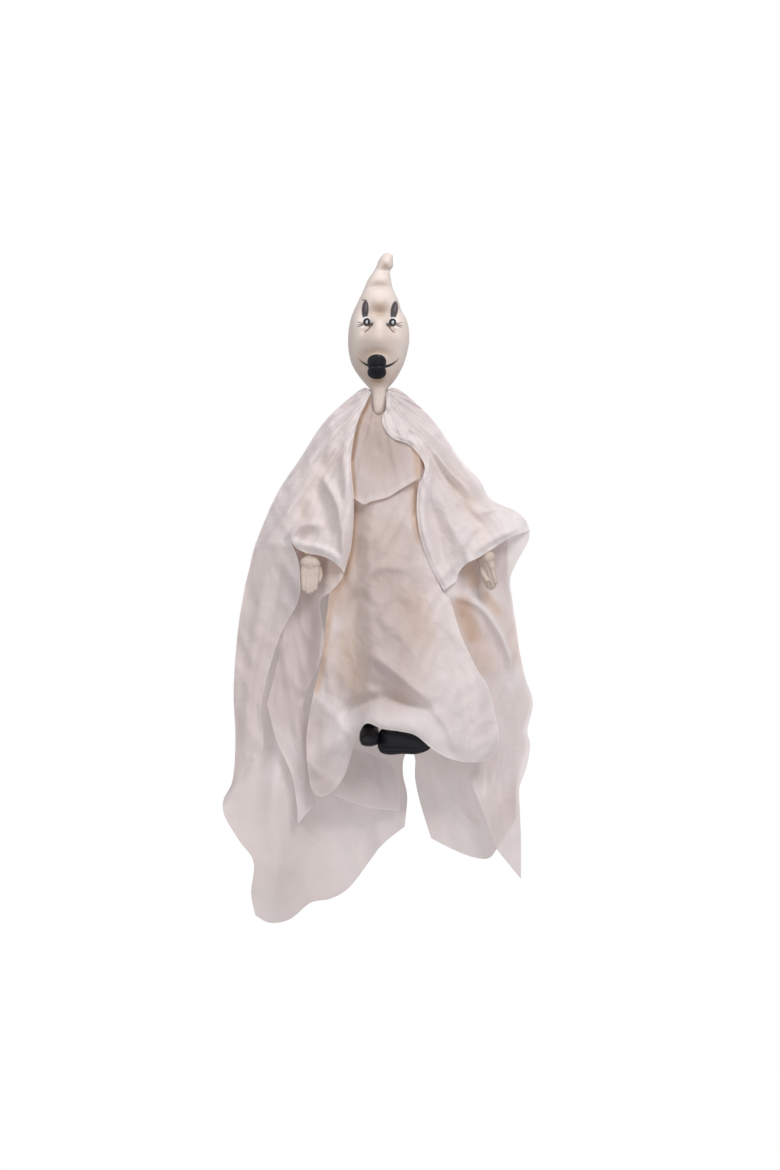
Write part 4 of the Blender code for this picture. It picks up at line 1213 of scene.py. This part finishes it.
def make_stage():
    scene = bpy.context.scene
    long_side = FRAME_PIXELS[1] * MM_PER_PIXEL
    camera = bpy.data.objects.new("camera", bpy.data.cameras.new("camera"))
    bpy.context.collection.objects.link(camera)
    camera.data.sensor_width = SENSOR_WIDTH
    camera.data.lens = SENSOR_WIDTH * CAMERA_DISTANCE / long_side
    camera.data.clip_end = CLIP_END
    centre_x = (FRAME_PIXELS[0] / 2 - TIP_PIXEL[0]) * MM_PER_PIXEL
    centre_z = (TIP_PIXEL[1] - FRAME_PIXELS[1] / 2) * MM_PER_PIXEL
    camera.location = (centre_x * MM, -CAMERA_DISTANCE * MM, centre_z * MM)
    camera.rotation_euler = (radians(90.0), 0.0, 0.0)
    scene.camera = camera
    scene.view_settings.view_transform = "Standard"

    surroundings = bpy.data.worlds.new("white")
    scene.world = surroundings
    shader = Shader(surroundings)
    rays = shader.add("LightPath", {}).outputs
    seen = shader.maths("ADD", rays["Is Camera Ray"], rays["Is Glossy Ray"])
    seen = shader.maths("ADD", seen, rays["Is Transmission Ray"], clamp=True)
    soft = shader.add("Background", {"Color": (0.98, 0.98, 1, 1), "Strength": 0.26})
    white = shader.add("Background", {"Color": (1, 1, 1, 1), "Strength": 1})
    shader.output(shader.add("MixShader", {0: seen, 1: soft, 2: white}), "World")

    for name, place, aim, size, power in (
        ("key", (0.6, -1, 0.72), (0, 0, -0.26), 0.6, 14.6),
        ("fill", (-1.3, -1.4, 0.1), (0, 0, -0.3), 1.2, 8.5),
        ("low", (0.4, -1.6, -0.75), (0, 0, -0.3), 1, 3.4),
        ("top", (-0.3, -0.25, 1), (0, 0, -0.25), 0.6, 3.5),
    ):
        light = bpy.data.lights.new(name, "AREA")
        light.size = size
        light.energy = power
        lamp = bpy.data.objects.new(name, light)
        bpy.context.collection.objects.link(lamp)
        lamp.location = place
        lamp.rotation_euler = (Vector(aim) - Vector(place)).to_track_quat("-Z", "Y").to_euler()

    bm = bmesh.new()
    bmesh.ops.create_grid(bm, x_segments=1, y_segments=1, size=FLOOR_SIZE)
    mesh = bpy.data.meshes.new("floor")
    bm.to_mesh(mesh)
    bm.free()
    floor = bpy.data.objects.new("floor", mesh)
    floor.location = (0.0, 0.0, FLOOR_HEIGHT)
    bpy.context.collection.objects.link(floor)
    pale, shader = new_material("pale_floor")
    shader.output(shader.add("BsdfDiffuse", {"Color": (0.85, 0.85, 0.85, 1)}))
    mesh.materials.append(pale)


def build():
    bisque = bisque_material()
    cream = cream_material()
    black = glaze_material()
    solids = [make_head(face_material())]
    padded = make_body(cream)
    solids += padded
    solids.append(make_hand(
        "cast_hand_left", (-59, -194, 8), WRIST_LEFT, 0, -2.5,
        [(6, 2.5, 0), (11, 6.2, -1.6), (16, 6.6, -2.3), (20, 5.2, -2.5)], bisque, "hand_left",
    ))
    solids.append(make_hand(
        "cast_hand_right", (66, -196, 7), WRIST_RIGHT, 0.24 * pi, -4.5,
        [(6, -2.5, 0.6), (12, -6.2, 1.6), (18, -6.2, 2.3), (23, -4.2, 2.5)], bisque, "hand_right",
    ))
    solids.append(make_shoe(
        "cast_shoe_left", (-12.5, -369, 3), (-12.5, -369, 33), 0, ANKLE_LEFT, 17,
        black, "shoe_left",
    ))
    solids.append(make_shoe(
        "cast_shoe_right", (-5.5, -376, 12), (33.5, -374.5, 22), 1, ANKLE_RIGHT, 20,
        black, "shoe_right",
    ))
    make_cloth(muslin_material(), {obj.name: obj for obj in solids})


build()
make_stage()
